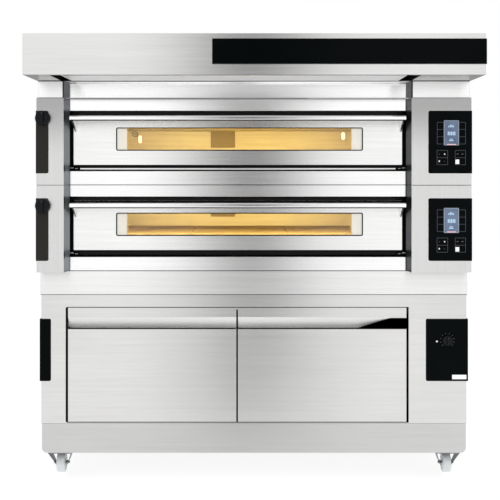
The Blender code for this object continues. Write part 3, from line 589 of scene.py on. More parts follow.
def knob(node, body, skirt, pointer):
    """A moulded knob: skirt, fluted rim, domed face and a raised finger grip with its pointer line."""
    low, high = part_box(node)
    middle = Vector(((low.x + high.x) / 2, high.y, (low.z + high.z) / 2))
    radius, depth = (high.z - low.z) / 2 * 1.05, high.y - low.y
    face = -depth * (1 - skirt)
    rim = turned([(0.0, 0.0), (radius - 0.0015, 0.0), (radius, -0.0015), (radius, face * 0.45),
                  (radius - 0.0012, face * 0.60), (radius - 0.0020, face * 0.95), (radius - 0.0034, face),
                  (0.0, face + 0.0004)], middle, (0, 1, 0), 72)
    grip_x = (middle.x - radius * 0.20, middle.x + radius * 0.20)
    grip_z = (middle.z - radius * 0.80, middle.z + radius * 0.80)
    grip = loft([at_y(rounded(grow(grip_x, 0.0010), grow(grip_z, 0.0010), 0.0030), middle.y + face + 0.0010),
                 at_y(rounded(grip_x, grip_z, 0.0024), middle.y + face * 0.6 + low.y * 0.4 - middle.y * 0.4),
                 at_y(rounded(grow(grip_x, -0.0012), grow(grip_z, -0.0012), 0.0012), low.y)])
    flute = turned([(0.0, 0.0), (0.0011, 0.0), (0.0011, face * 0.55), (0.0, face * 0.55)], (0, 0, 0),
                   (0, 1, 0), 10)
    count = 30
    flutes = marks(flute, charcoal, count, radius - 0.0011, 0, 360 / count,
                   middle + Vector((0, face * 0.40, 0)))
    piece(node + "_body", together(rim, grip, flutes), charcoal, body, [node], 0.0004)
    line = pane((middle.x - 0.0006, middle.x + 0.0006), (grip_z[1] - radius * pointer, grip_z[1] - 0.0022),
                (low.y - 0.0002, low.y + 0.0002), 0.0003, 2)
    piece(node + "_pointer", line, grey_print, body)


knob("thermostat_knob", "thermostat", 0.45, 0.35)

# ---------------------------------------------------------------- support skirt
# A skirt folded from satin stainless sheet, as wide as the decks, carries them on the prover.  It is
# screwed down from inside, so no fixing shows.
piece("support_skirt", copied("support_frame"), satin, "oven", ["support_frame"], 0.0010)

# ---------------------------------------------------------------- deck bodies
# Each deck is wrapped in stainless sheet.  Its back has pressed cooling louvres, a screwed service
# cover and a cable gland; both sides have a bank of louvres near the rear for the wiring space.
DECKS = ("lower", "upper")
button_head = [(0.0, -0.0007), (0.0016, -0.0007), (0.0019, -0.0018), (0.0030, -0.0016), (0.0042, -0.0006),
               (0.0044, 0.0002), (0.0, 0.0002)]
back_screw = turned(button_head, (0, 0, 0), (0, -1, 0), 16)
left_screw = turned(button_head, (0, 0, 0), (1, 0, 0), 16)
right_screw = turned(button_head, (0, 0, 0), (-1, 0, 0), 16)
screw_steel = brushed_steel("turned screw steel", (0.50, 0.50, 0.50), 0.30)


def scoop(length, height, depth, facing):
    """A pressed louvre: a hood over a slot, closed at its ends, open below."""
    steps = 5
    curve = [(depth * sin(pi / 2 * k / steps), height / 2 - height * (1 - cos(pi / 2 * k / steps)))
             for k in range(steps + 1)]
    wall = 0.0010
    inner = [(max(d - wall, -0.0004), h - wall) for d, h in reversed(curve[1:])]
    section = [(-0.0004, height / 2)] + curve[1:] + inner + [(-0.0004, height / 2 - wall * 1.5)]
    ends = []
    for t, share in ((-0.5, 0.15), (-0.46, 0.75), (-0.40, 1.0), (0.40, 1.0), (0.46, 0.75), (0.5, 0.15)):
        ends.append([(facing * max(d * share, -0.0004), t * length, h) for d, h in section])
    return loft(ends)


def scoop_back(length, height, depth):
    """The same louvre turned to face the rear."""
    mesh = scoop(length, height, depth, 1)
    for vertex in mesh.vertices:
        out, run, up = vertex.co
        vertex.co = (run, out, up)
    mesh.flip_normals()
    return mesh


for deck in DECKS:
    casing = f"{deck}_casing"
    low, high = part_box(casing)
    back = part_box("support_frame")[1].y
    piece(f"{deck}_wrapper", copied(casing), satin, "oven", [casing], 0.0010)
    base = low.z
    vents = repeated(scoop_back(0.110, 0.011, 0.0050), satin, 4, 8, (-0.420, back, base + 0.085),
                     (0.130, 0, 0), (0, 0, 0.022))
    piece(f"{deck}_rear_louvres", vents, satin, "oven")
    shadow = repeated(pane((-0.050, 0.050), (-0.0035, 0.0030), (-0.0003, 0.0003), 0.002, 2), soot, 4, 8,
                      (-0.420, back, base + 0.083), (0.130, 0, 0), (0, 0, 0.022))
    piece(f"{deck}_rear_slots", shadow, soot, "oven")
    cover = loft([at_y(rounded((0.300, 0.780), (base + 0.110, base + 0.290), 0.010), back - 0.0002),
                  at_y(rounded((0.300, 0.780), (base + 0.110, base + 0.290), 0.010), back + 0.0022),
                  at_y(rounded((0.3015, 0.7785), (base + 0.1115, base + 0.2885), 0.009), back + 0.0030)])
    piece(f"{deck}_service_cover", cover, satin, "oven")
    heads = together(
        repeated(back_screw, screw_steel, 4, 2, (0.315, back + 0.0030, base + 0.122), (0.150, 0, 0),
                 (0, 0, 0.156)),
        repeated(back_screw, screw_steel, 9, 2, (-0.800, back, base + 0.014), (0.200, 0, 0), (0, 0, 0.305)))
    piece(f"{deck}_rear_screws", heads, screw_steel, "oven")
    gland_axis = (0.700, back, base + 0.070)
    gland = together(
        turned([(0.0, 0.0), (0.0158, 0.0), (0.0160, 0.001), (0.0160, 0.006), (0.0150, 0.007), (0.0, 0.007)],
               gland_axis, (0, 1, 0), 6),
        turned([(0.0080, 0.006), (0.0130, 0.006), (0.0132, 0.011), (0.0118, 0.0165), (0.0085, 0.0180),
                (0.0062, 0.0172), (0.0060, 0.010)], gland_axis, (0, 1, 0), 40, True))
    piece(f"{deck}_cable_gland", gland, charcoal, "oven")
    for hand, facing, screw in (("left", -1, left_screw), ("right", 1, right_screw)):
        side = low.x if facing < 0 else high.x
        vents = repeated(scoop(0.090, 0.010, 0.0045, facing), satin, 2, 6, (side, 0.470, base + 0.110),
                         (0, 0.110, 0), (0, 0, 0.022))
        slots = repeated(slab((-0.0003, 0.0003), (-0.040, 0.040), (-0.0035, 0.0025), 0.0001), soot, 2, 6,
                         (side, 0.470, base + 0.108), (0, 0.110, 0), (0, 0, 0.022))
        heads = repeated(screw, screw_steel, 5, 2, (side, -0.270, base + 0.018), (0, 0.228, 0), (0, 0, 0.297))
        piece(f"{deck}_{hand}_louvres", vents, satin, "oven")
        piece(f"{deck}_{hand}_slots", slots, soot, "oven")
        piece(f"{deck}_{hand}_screws", heads, screw_steel, "oven")

# ---------------------------------------------------------------- deck corner pillars
# Folded stainless posts stand proud at both front corners with upright grain.  Their inner faces carry a
# slanted grey cheek, painted darker in the shade under the hood, a gloss black guard beside the handle and a
# dark bearing plate beside the hinge tube.
tube_black, shader, place = new_finish("gloss black enamel", (0.004, 0.004, 0.005), 0.14,
                                       Specular_IOR_Level=0.12)
run = place.noise(14.0, 3.0)
feed(shader, Base_Color=run.mix((0.002, 0.002, 0.003), (0.006, 0.006, 0.006)), Roughness=0.12 + run * 0.10)

cheek_grey, shader, place = new_finish("satin grey cheek with painted shade", (0.20, 0.22, 0.24), 0.35, 0.6)
x, y, z = split(place)
streak = place.vector(x * 4.0, y * 4.0, z * 60.0).noise(1.0, 2.0)
# Painted shade: the cheeks darken under the hood, most near its top edge.  The right-hand cheeks are made
# much darker all over.
painted_shade = z.ramp(1.34, 1.42).mix((0.30, 0.32, 0.34), (0.14, 0.15, 0.17))
painted_shade = z.ramp(1.465, 1.485).mix(painted_shade, (0.045, 0.050, 0.062))
painted_shade = x.ramp(-0.50, 0.50).mix(painted_shade, (0.020, 0.024, 0.028))
feed(shader, Base_Color=painted_shade, Roughness=0.30 + streak * 0.12)

cheek_back = -0.3956


def deck_base(deck):
    """The height of a deck's underside, a hair below its casing."""
    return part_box(f"{deck}_casing")[0].z - 0.0003


for deck in DECKS:
    base = deck_base(deck)
    for hand in ("left", "right"):
        node = f"{deck}_{hand}_pillar"
        piece(node + "_sheet", copied(node), satin_post, "oven", [node], 0.0014, 3)
        low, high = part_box(node)
        inner, outward = (high.x, 1) if hand == "left" else (low.x, -1)
        plate_x = sorted((inner - outward * 0.0002, inner + outward * 0.0018))
        guard = slab(plate_x, (low.y + 0.0012, -0.3700), (base + 0.2430, base + 0.2880), 0.0004)
        piece(node + "_guard", guard, tube_black, "oven", (), 0.0004)
        slope_x = inner + outward * 0.0102
        cheek = [(inner + outward * 0.0001, low.y + 0.0030), (slope_x, cheek_back),
                 (inner + outward * 0.0001, cheek_back)]
        cheeks = loft([at_z(cheek, low.z), at_z(cheek, high.z)])
        piece(node + "_cheek", cheeks, cheek_grey, "oven")
        bearing = slab(plate_x, (low.y + 0.0012, -0.3700), (base + 0.0535, base + 0.0780), 0.0004)
        piece(node + "_bearing_plate", bearing, charcoal, "oven", (), 0.0004)

# ---------------------------------------------------------------- fascia bands and slot trim
# Above and below each door a folded stainless band closes the fascia.  Black sheets in the narrow gap beside
# the door are painted shadow, and a gloss black strip with a rounded nose closes the slot above it.
for deck in DECKS:
    node = f"{deck}_front_frame"
    low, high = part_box(node)
    base = low.z - 0.0003
    fascia, back = low.y, high.y
    x = (low.x, high.x)
    door_low, door_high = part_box(f"{deck}_door_skin")
    opening_z = (base + 0.0535, base + 0.2880)
    bands = []
    for z, lip in (((low.z, opening_z[0]), 1), ((opening_z[1], high.z), 0)):
        wall = 0.002
        outline = [(back, z[0]), (fascia, z[0]), (fascia, z[1]), (back, z[1]), (back, z[1] - wall),
                   (fascia + wall, z[1] - wall), (fascia + wall, z[0] + wall), (back, z[0] + wall)]
        bands.append(loft([at_x(outline, x[0]), at_x(outline, x[1])]))
    piece(f"{deck}_fascia_bands", together(*bands), satin_fascia, "oven", [node], 0.0010)
    # Painted shadow: black sheets fill the narrow gap between each door's edge and the end of the fascia.
    gap_shadow_sheets = []
    for outer, inner in ((x[0] - 0.0085, door_low.x - 0.0012), (x[1] + 0.0085, door_high.x + 0.0012)):
        gap_shadow_sheets.append(slab(sorted((outer, inner)), (-0.3520, back), grow(opening_z, -0.0002)))
    piece(f"{deck}_side_stiles", together(*gap_shadow_sheets), soot, "oven", (), 0.0006)

    node = f"{deck}_slot_trim"
    low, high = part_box(node)
    radius = (high.z - low.z) / 2
    arc = [(low.y + radius - radius * sin(pi * k / 12), low.z + radius - radius * cos(pi * k / 12))
           for k in range(13)]
    section = arc + [(high.y, high.z), (high.y, low.z)]
    end = 0.025
    strip = loft([at_x(section, low.x + end), at_x(section, high.x - end)])
    piece(f"{deck}_slot_strip", strip, tube_black, "oven", [node])
    caps = [loft([at_x(section, a), at_x(section, b)]) for a, b in
            ((low.x, low.x + end - 0.0004), (high.x - end + 0.0004, high.x))]
    piece(f"{deck}_slot_end_caps", together(*caps), soot, "oven", (), 0.0004)

# ---------------------------------------------------------------- baking chambers
# A welded box of heat-tinted steel round three refractory slabs on two ribs.  The back wall carries the
# vent's cover plate, a lamp behind a bezel in each upper corner and a guarded probe; sheathed heaters lie
# above and below, and mineral wool fills the casing round the box.
chamber_steel, shader, place = new_finish("heat-tinted chamber steel", (0.74, 0.62, 0.42), 0.42, 0.55)
x, y, z = split(place)
tint = place.noise(4.0, 3.0)
streak = place.vector(x * 3.0, y * 3.0, z * 90.0).noise(1.0, 2.0)
# Painted shade: the chamber's front rim, seen down the gaps beside the doors, is made near-black and barely
# metallic.
painted_front_shade = 1.0 - y.ramp(-0.3166, -0.3150)
warm = (tint * 0.6 + streak * 0.4).ramp(0.3, 0.7).mix((0.60, 0.50, 0.36), (0.74, 0.65, 0.50))
feed(shader, Base_Color=painted_front_shade.mix(warm, (0.010, 0.010, 0.010)), Roughness=0.36 + tint * 0.18,
     Metallic=0.55 - painted_front_shade * 0.5)

stone, shader, place = new_finish("refractory stone", (0.70, 0.58, 0.42), 0.85)
grit = place.noise(260.0, 5.0, 0.65)
bake = place.noise(5.0, 4.0).ramp(0.45, 0.75)
crumb = place.cells(130.0)
feed(shader, Base_Color=bake.mix(grit.mix((0.60, 0.47, 0.30), (0.84, 0.72, 0.52)), (0.52, 0.36, 0.20)),
     Roughness=0.74 + grit * 0.2, Normal=(grit * 0.7 + crumb * 0.3).bump(0.35, 0.0012))

sheath, shader, place = new_finish("heater sheath", (0.16, 0.14, 0.13), 0.5, 1.0)
x, y, z = split(place)
scale = place.noise(70.0, 4.0)
blue = place.noise(6.0, 2.0).ramp(0.4, 0.7)
feed(shader, Base_Color=blue.mix(scale.mix((0.10, 0.08, 0.07), (0.26, 0.21, 0.18)), (0.12, 0.13, 0.20)),
     Roughness=0.38 + scale * 0.3, Normal=scale.bump(0.1, 0.0003))

straw, shader, place = new_finish("straw-tinted sheath", (0.66, 0.55, 0.36), 0.45, 0.4)
scale = place.noise(70.0, 4.0)
feed(shader, Base_Color=scale.mix((0.58, 0.48, 0.31), (0.72, 0.62, 0.43)), Roughness=0.36 + scale * 0.24,
     Normal=scale.bump(0.1, 0.0003))

wool, shader, place = new_finish("mineral wool", (0.60, 0.55, 0.42), 0.95)
fibre = place.noise(90.0, 6.0, 0.8)
feed(shader, Base_Color=fibre.mix((0.42, 0.37, 0.26), (0.72, 0.67, 0.54)), Normal=fibre.bump(0.6, 0.004))

vent_brown, shader, place = new_finish("oxidised vent plate", (0.36, 0.25, 0.11), 0.5, 0.6)
rust = place.noise(35.0, 4.0)
feed(shader, Base_Color=rust.mix((0.26, 0.19, 0.10), (0.36, 0.27, 0.15)), Roughness=0.40 + rust * 0.25)

lamp_glow = printed("lamp glass, lit", (1.0, 0.88, 0.60), 1.25)

for deck in DECKS:
    for node, finish in (("chamber", chamber_steel), ("top_element", straw), ("bottom_element", sheath),
                         ("insulation", wool)):
        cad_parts[f"{deck}_{node}"].data.materials.clear()
        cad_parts[f"{deck}_{node}"].data.materials.append(finish)
    node = f"{deck}_stone_floor"
    low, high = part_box(node)
    count = 3
    joint = 0.0022
    width = (high.x - low.x + joint) / count
    under = high.z - 0.017
    slab_mesh = slab((0.0, width - joint), (low.y, high.y), (under, high.z), 0.0020, 3)
    slabs = repeated(slab_mesh, stone, count, 1, (low.x, 0, 0), (width, 0, 0))
    rib_mesh = slab((0.0, 0.0180), (low.y, high.y), (low.z, under - 0.0002), 0.0020, 3)
    ribs = repeated(rib_mesh, stone, 2, 1, (low.x + 0.0002, 0, 0), (high.x - low.x - 0.0184, 0, 0))
    piece(f"{deck}_stone_slabs", together(slabs, ribs), stone, "oven", [node], 0.0012)

    base = deck_base(deck)
    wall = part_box(f"{deck}_chamber")[1].y - 0.0020
    plate_x, plate_z = (-0.204, -0.087), (base + 0.166, base + 0.2555)
    plate = loft([at_y(rounded(plate_x, plate_z, 0.003), wall - 0.0100),
                  at_y(rounded(plate_x, plate_z, 0.003), wall - 0.0115),
                  at_y(rounded(grow(plate_x, -0.0012), grow(plate_z, -0.0012), 0.002), wall - 0.0125)])
    post = turned([(0.0, -0.0105), (0.0040, -0.0105), (0.0040, 0.0), (0.0, 0.0)], (0, 0, 0), (0, 1, 0), 12)
    posts = repeated(post, vent_brown, 2, 2, (plate_x[0] + 0.010, wall, plate_z[0] + 0.010),
                     (plate_x[1] - plate_x[0] - 0.020, 0, 0), (0, 0, plate_z[1] - plate_z[0] - 0.020))
    piece(f"{deck}_vent_plate", together(plate, posts), vent_brown, "oven")
    for hand, centre_x, centre_z in (("left", -0.546, 0.206), ("right", 0.436, 0.222)):
        lamp_x = (centre_x - 0.0125, centre_x + 0.0125)
        lamp_z = (base + centre_z - 0.022, base + centre_z + 0.022)
        rim = [(0.0, 0.0), (-0.0008, -0.0060), (-0.0022, -0.0075), (-0.0036, -0.0060), (-0.0036, 0.0)]
        ring = loft([at_y(rounded(grow(lamp_x, g), grow(lamp_z, g), 0.0120 + g), wall + t) for g, t in rim],
                    closed=True)
        piece(f"{deck}_{hand}_lamp_bezel", ring, chamber_steel, "oven")
        bulge = ((0.0042, -0.0010), (0.0042, -0.0080), (0.0065, -0.0110), (0.0095, -0.0125))
        bulb = loft([at_y(rounded(grow(lamp_x, -s), grow(lamp_z, -s), 0.0124 - s), wall + t)
                     for s, t in bulge])
        piece(f"{deck}_{hand}_lamp_glass", bulb, lamp_glow, "oven")
    cage_x, cage_z = -0.571, base + 0.232
    hoop = turned([(0.0105, -0.0060), (0.0125, -0.0070), (0.0140, -0.0060), (0.0140, 0.0), (0.0105, 0.0)],
                  (cage_x, wall, cage_z), (0, 1, 0), 32, True)
    sensor = turned([(0.0, -0.0120), (0.0030, -0.0115), (0.0035, -0.0100), (0.0035, 0.0), (0.0, 0.0)],
                    (cage_x, wall, cage_z), (0, 1, 0), 16)
    stem = pane((cage_x + 0.008, cage_x + 0.030), (cage_z - 0.0145, cage_z - 0.0105),
                (wall - 0.0050, wall), 0.0018)
    piece(f"{deck}_probe_guard", together(hoop, sensor, stem), vent_brown, "oven")

# ---------------------------------------------------------------- oven doors
# Each drop-down door has a brushed outer skin with a rubber-edged glass window, and an inner liner that
# frames a smaller opening and carries a flat glass-fibre seal.  It turns on a black enamelled tube.
clear_glass = bpy.data.materials.new("window glass")
clear_glass.use_nodes = True
tree = clear_glass.node_tree
tree.nodes.remove(tree.nodes["Principled BSDF"])
sheen = Signal(tree.nodes.new("ShaderNodeFresnel").outputs[0])
sheen.socket.node.inputs["IOR"].default_value = 1.45
see = sheen.node("ShaderNodeBsdfTransparent", None, {"Color": (0.97, 0.96, 0.93, 1.0)})
shine = sheen.node("ShaderNodeBsdfGlossy", None, {"Color": (1.0, 1.0, 1.0, 1.0), "Roughness": 0.03})
pane_mix = sheen.node("ShaderNodeMixShader", None, {0: sheen, 1: see, 2: shine})
tree.links.new(pane_mix.socket, tree.nodes["Material Output"].inputs["Surface"])

rubber, shader, place = new_finish("silicone edge seal", (0.006, 0.006, 0.007), 0.6, Specular_IOR_Level=0.1)
fleck = place.noise(500.0, 2.0)
feed(shader, Base_Color=fleck.mix((0.004, 0.004, 0.005), (0.010, 0.010, 0.011)), Roughness=0.5 + fleck * 0.2)

# Painted glow: the sight frame gives off light in its own colour, standing in for the chamber lamps' light on
# it.
white_frame, shader, place = new_finish("white enamelled frame with painted glow", (0.90, 0.89, 0.88), 0.35,
                                        Emission_Strength=0.40)
drip = place.noise(25.0, 3.0)
enamel = drip.mix((0.88, 0.87, 0.86), (0.94, 0.93, 0.92))
feed(shader, Base_Color=enamel, Emission_Color=enamel, Roughness=0.28 + drip * 0.15)

braid, shader, place = new_finish("glass-fibre seal", (0.62, 0.58, 0.50), 0.9)
x, y, z = split(place)
weave = place.vector((x + z) * 420.0, (x - z) * 420.0, 0.0).noise(1.0, 1.0)
feed(shader, Base_Color=weave.mix((0.36, 0.33, 0.28), (0.76, 0.72, 0.64)), Normal=weave.bump(0.5, 0.0008))

for deck in DECKS:
    body = f"{deck}_door"
    node = f"{deck}_door_skin"
    low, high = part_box(node)
    glass_low, glass_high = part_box(f"{deck}_door_glass")
    wall = 0.0020
    door_x, door_z = (low.x, high.x), (low.z, high.z)
    front, seam = low.y, high.y
    glass_x, glass_z = (glass_low.x, glass_high.x), (glass_low.z, glass_high.z)
    window_x, window_z = grow(glass_x, 0.0003), grow(glass_z, 0.0003)
    outer, window = rounded(door_x, door_z, 0.0020), rounded(window_x, window_z, 0.0070)
    outer_in = rounded(grow(door_x, -wall), grow(door_z, -wall), 0.0010)
    window_in = rounded(grow(window_x, wall), grow(window_z, wall), 0.0085)
    skin = loft([at_y(outer, seam), at_y(outer, front), at_y(window, front), at_y(window, seam),
                 at_y(window_in, seam), at_y(window_in, front + wall), at_y(outer_in, front + wall),
                 at_y(outer_in, seam)], closed=True)
    piece(f"{deck}_door_front", skin, satin_door, body, [node], 0.0010)

    top_strip = pane((door_x[0] + 0.0008, door_x[1] - 0.0008), (door_z[1] - 0.0160, door_z[1] - 0.0006),
                     (front - 0.0010, front + 0.0010), 0.0006)
    piece(f"{deck}_door_top_strip", top_strip, soot, body)

    lip = 0.0038
    rim = [(0.0001, -0.0006), (-0.0004, -0.0012), (-lip + 0.0004, -0.0012), (-lip, -0.0006), (-lip, 0.0016),
           (0.0001, 0.0016)]
    edge = loft([at_y(rounded(grow(window_x, g), grow(window_z, g), 0.0070 + g), front + t) for g, t in rim],
                closed=True)
    piece(f"{deck}_window_seal", edge, rubber, body)

    layers = ((0.0, glass_high.y), (0.0, glass_low.y + 0.0004), (0.0004, glass_low.y))
    glass = loft([at_y(rounded(grow(glass_x, -s), grow(glass_z, -s), 0.0067), y) for s, y in layers])
    piece(f"{deck}_window_glass", glass, clear_glass, body, [f"{deck}_door_glass"])

    node = f"{deck}_door_liner"
    low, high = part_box(node)
    inner_x, inner_z = (-0.497, 0.383), (glass_low.z + 0.0032, glass_high.z - 0.0032)
    liner_x, liner_z = (low.x, high.x), (low.z, high.z)
    outer, hole = rounded(liner_x, liner_z, 0.006), rounded(inner_x, inner_z, 0.0020)
    outer_in = rounded(grow(liner_x, -wall), grow(liner_z, -wall), 0.004)
    hole_in = rounded(grow(inner_x, wall), grow(inner_z, wall), 0.0040)
    rebate = rounded(grow(window_x, -0.0006), grow(window_z, -0.0006), 0.0060)
    reveal = glass_high.y + 0.0008
    liner = loft([at_y(outer, low.y), at_y(outer, high.y), at_y(hole, high.y), at_y(hole, reveal),
                  at_y(rebate, reveal), at_y(rebate, reveal + 0.0012), at_y(hole_in, reveal + 0.0012),
                  at_y(hole_in, high.y - wall), at_y(outer_in, high.y - wall), at_y(outer_in, low.y)],
                 closed=True)
    sight_out = rounded(grow(window_x, -0.0008), grow(window_z, -0.0008), 0.0058)
    sight = loft([at_y(hole, reveal - 0.0004), at_y(sight_out, reveal - 0.0004),
                  at_y(sight_out, reveal + 0.0001), at_y(hole, reveal + 0.0001)], closed=True)
    piece(f"{deck}_sight_frame", sight, white_frame, body)
    piece(f"{deck}_door_inside", liner, satin, body, [node], 0.0007)
    seal_out = rounded(grow(liner_x, -0.008), grow(liner_z, -0.006), 0.008)
    seal_in = rounded(grow(liner_x, -0.020), grow(liner_z, -0.018), 0.004)
    seal = loft([at_y(seal_out, high.y - 0.0002), at_y(seal_out, high.y + 0.0010),
                 at_y(seal_in, high.y + 0.0010), at_y(seal_in, high.y - 0.0002)], closed=True)
    piece(f"{deck}_fibre_seal", seal, braid, body)
    heads = together(*(repeated(back_screw, screw_steel, 7, 1, (liner_x[0] + 0.070, high.y, z), (0.186, 0, 0))
                       for z in (inner_z[0] - 0.017, inner_z[1] + 0.0155)))
    piece(f"{deck}_liner_screws", heads, screw_steel, body)

# ---------------------------------------------------------------- door handles and hinge tubes
# The handle is one drawn bar the width of the door on two tapered end arms, with a rubber grip liner.
# The hinge tube below is black enamelled, with plain collars and a steel pin at each end that runs in
# the pillars; the upper deck's tube has a bright strip along its front, a painted highlight.
bar_steel = brushed_steel("drawn bar stainless", (0.97, 0.968, 0.96), 0.15)

for deck in DECKS:
    body = f"{deck}_door"
    node = f"{deck}_door_handle"
    low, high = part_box(node)
    base = deck_base(deck)
    bar_y, bar_z = (low.y, low.y + 0.0160), (high.z - 0.0175, high.z)
    section = rounded(bar_y, bar_z, (0.0022, 0.0030, 0.0060, 0.0045), 6)
    bar_middle = (bar_z[0] + bar_z[1]) / 2
    bar = loft([at_x([(a + (0.008 - (a - low.y)) * s, b + (bar_middle - b) * s) for a, b in section], x)
                for x, s in ((low.x, 0.12), (low.x + 0.0008, 0.0), (high.x - 0.0008, 0.0), (high.x, 0.12))])
    root = high.y
    reach = root - (low.y + 0.008)
    arm_steps = 8
    lower_edge = [(low.y + 0.008 + reach * k / arm_steps,
                   bar_z[0] + 0.002 - (bar_z[0] - low.z) * (k / arm_steps) ** 1.8)
                  for k in range(arm_steps + 1)]
    arm_outline = lower_edge + [(root, bar_z[1] - 0.0035), (low.y + 0.008, bar_z[1] - 0.0015)]
    arms = [loft([at_x(arm_outline, a), at_x(arm_outline, b)])
            for a, b in ((low.x + 0.0012, low.x + 0.0090), (high.x - 0.0090, high.x - 0.0012))]
    liner_strip = slab((low.x + 0.0060, high.x - 0.0060), (low.y + 0.0010, low.y + 0.0125),
                       (bar_z[0] - 0.0022, bar_z[0] + 0.0008), 0.0008)
    piece(f"{deck}_grip_liner", liner_strip, rubber, body)
    piece(f"{deck}_handle_bar", together(bar, *arms), bar_steel, body, [node], 0.0008)

    node = f"{deck}_hinge_tube"
    low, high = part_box(node)
    centre = (low + high) / 2
    radius = 0.0110
    length = high.x - low.x
    collar = 0.0250
    tube = turned([(0.0, collar), (radius - 0.0006, collar), (radius, collar + 0.0006),
                   (radius, length - collar - 0.0006), (radius - 0.0006, length - collar),
                   (0.0, length - collar)], (low.x, centre.y, centre.z), (1, 0, 0), 48)
    piece(f"{deck}_tube", tube, tube_black, body, [node])
    # Painted highlight: a bright steel strip along the upper tube's lower front stands in for the tube's
    # shine.
    arc = [radians(-4 - 5 * k) for k in range(8)]
    band = [(centre.y - r * cos(a), centre.z + r * sin(a))
            for r, order in ((0.0113, arc), (0.0105, arc[::-1])) for a in order]
    strip = loft([at_x(band, low.x + collar + 0.0010), at_x(band, high.x - collar - 0.0010)])
    if deck == "upper":
        piece(f"{deck}_tube_strip", strip, bar_steel, body)
    ring = turned([(0.0, 0.0), (0.0105, 0.0), (0.0116, 0.0010), (0.0116, collar - 0.0014),
                   (0.0105, collar - 0.0004), (0.0, collar - 0.0004)], (0, 0, 0), (1, 0, 0), 40)
    rings = repeated(ring, soot, 2, 1, (low.x, centre.y, centre.z), (length - collar + 0.0004, 0, 0))
    piece(f"{deck}_tube_collars", rings, soot, body)
    pin = turned([(0.0, 0.0), (0.0036, 0.0), (0.0042, 0.0008), (0.0042, 0.0150), (0.0036, 0.0158),
                  (0.0, 0.0158)], (0, 0, 0), (1, 0, 0), 20)
    pins = repeated(pin, screw_steel, 2, 1, (low.x - 0.0145, centre.y, centre.z), (length + 0.0132, 0, 0))
    lug_outline = rounded((centre.y - 0.0115, centre.y - 0.006),
                          (centre.z - 0.0035, centre.z + 0.0015), 0.0012)
    lug = loft([at_x(lug_outline, 0.0), at_x(lug_outline, 0.0105)])
    lugs = repeated(lug, screw_steel, 2, 1, (low.x + 0.0060, 0, 0), (length - 0.0225, 0, 0))
    piece(f"{deck}_hinge_pins", together(pins, lugs), screw_steel, body)

# ---------------------------------------------------------------- control panels
# A gloss black glass panel wraps each deck's right corner.  Behind it a portrait display glows blue-grey
# between two columns of outlined keys, with two groups of boxed touch keys below.  It has no lettering.
display, shader, place = new_finish("lit display", (0.10, 0.14, 0.20), 0.25, Emission_Strength=0.55)
x, y, z = split(place)
scan = place.vector(x * 60.0, 0.0, z * 900.0).noise(1.0, 1.0)
wash = (scan * 0.5 + place.noise(18.0, 2.0) * 0.5).ramp(0.3, 0.7)
tone = wash.mix((0.055, 0.085, 0.150), (0.115, 0.155, 0.235))
feed(shader, Base_Color=tone, Emission_Color=tone)
display_edge = printed("display edge", (0.28, 0.33, 0.40), 0.35)
display_mark = printed("display mark", (0.40, 0.55, 0.72), 0.55)
display_red = printed("display red line", (0.85, 0.42, 0.42), 0.9)


def inlay(rectangles, base, y, thickness=0.0002, radius=0.0006):
    """Flat printed rectangles, from (x0, x1, z0, z1) above the deck's underside, as one mesh."""
    return together(*(pane((x0, x1), (base + z0, base + z1), (y - thickness, y + 0.0001), radius, 2)
                      for x0, x1, z0, z1 in rectangles))


def outline_cells(x, levels, line=0.0011):
    """The rectangles that draw a column of boxed keys."""
    cells = [(x[0] - line / 2, x[1] + line / 2, z - line / 2, z + line / 2) for z in levels]
    return cells + [(side - line / 2, side + line / 2, levels[0], levels[-1]) for side in x]


for deck in DECKS:
    node = f"{deck}_control_panel"
    base = deck_base(deck)
    glass = corner_panel(node, 0.0065, 0.0017)
    piece(f"{deck}_control_glass", glass, gloss, "oven", [node], 0.0007)
    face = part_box(node)[0].y
    screen_x, screen_z = (0.7236, 0.7784), (0.1530, 0.2455)
    screen = pane(screen_x, (base + screen_z[0], base + screen_z[1]), (face - 0.0003, face), 0.0015)
    piece(f"{deck}_display", screen, display, "oven")
    edges = outline_cells(screen_x, screen_z, 0.0022)
    piece(f"{deck}_display_edge", inlay(edges, base, face - 0.0003), display_edge, "oven")
    levels = [0.1570 + 0.0275 * k for k in range(4)]
    keys = outline_cells((0.6970, 0.7225), levels) + outline_cells((0.7795, 0.8049), levels)
    for span in ((0.6963, 0.7370), (0.7654, 0.8049)):
        keys += outline_cells(span, [0.0782, 0.1048, 0.1326])
    piece(f"{deck}_key_outlines", inlay(keys, base, face), grey_print, "oven")
    symbols = [(0.7665, 0.7808, 0.0808, 0.0978), (0.7235, 0.7275, 0.1160, 0.1205),
               (0.7030, 0.7068, 0.0885, 0.0945)]
    piece(f"{deck}_key_symbols", inlay(symbols, base, face, 0.0003), white_print, "oven")
    dim = [(0.7705, 0.7785, 0.1175, 0.1200), (0.7892, 0.7972, 0.1175, 0.1200),
           (0.7045, 0.7062, 0.1160, 0.1205), (0.7225, 0.7265, 0.0905, 0.0920)]
    piece(f"{deck}_dim_symbols", inlay(dim, base, face, 0.0003), grey_print, "oven")
    bars = [(0.7395 + 0.0058 * k, 0.7435 + 0.0058 * k, 0.2205, 0.2205 + rise)
            for k, rise in enumerate((0.0060, 0.0095, 0.0095, 0.0060))]
    bars += [(0.7370 + 0.0062 * k, 0.7412 + 0.0062 * k, 0.1900, 0.2040) for k in range(5)]
    bars += [(0.7420, 0.7590, 0.1680, 0.1715), (0.7450, 0.7560, 0.1735, 0.1765)]
    piece(f"{deck}_display_bars", inlay(bars, base, face - 0.0003, 0.0003), display_mark, "oven")
    red_line = inlay([(0.7345, 0.7690, 0.1545, 0.1568)], base, face - 0.0003, 0.0003)
    piece(f"{deck}_display_line", red_line, display_red, "oven")

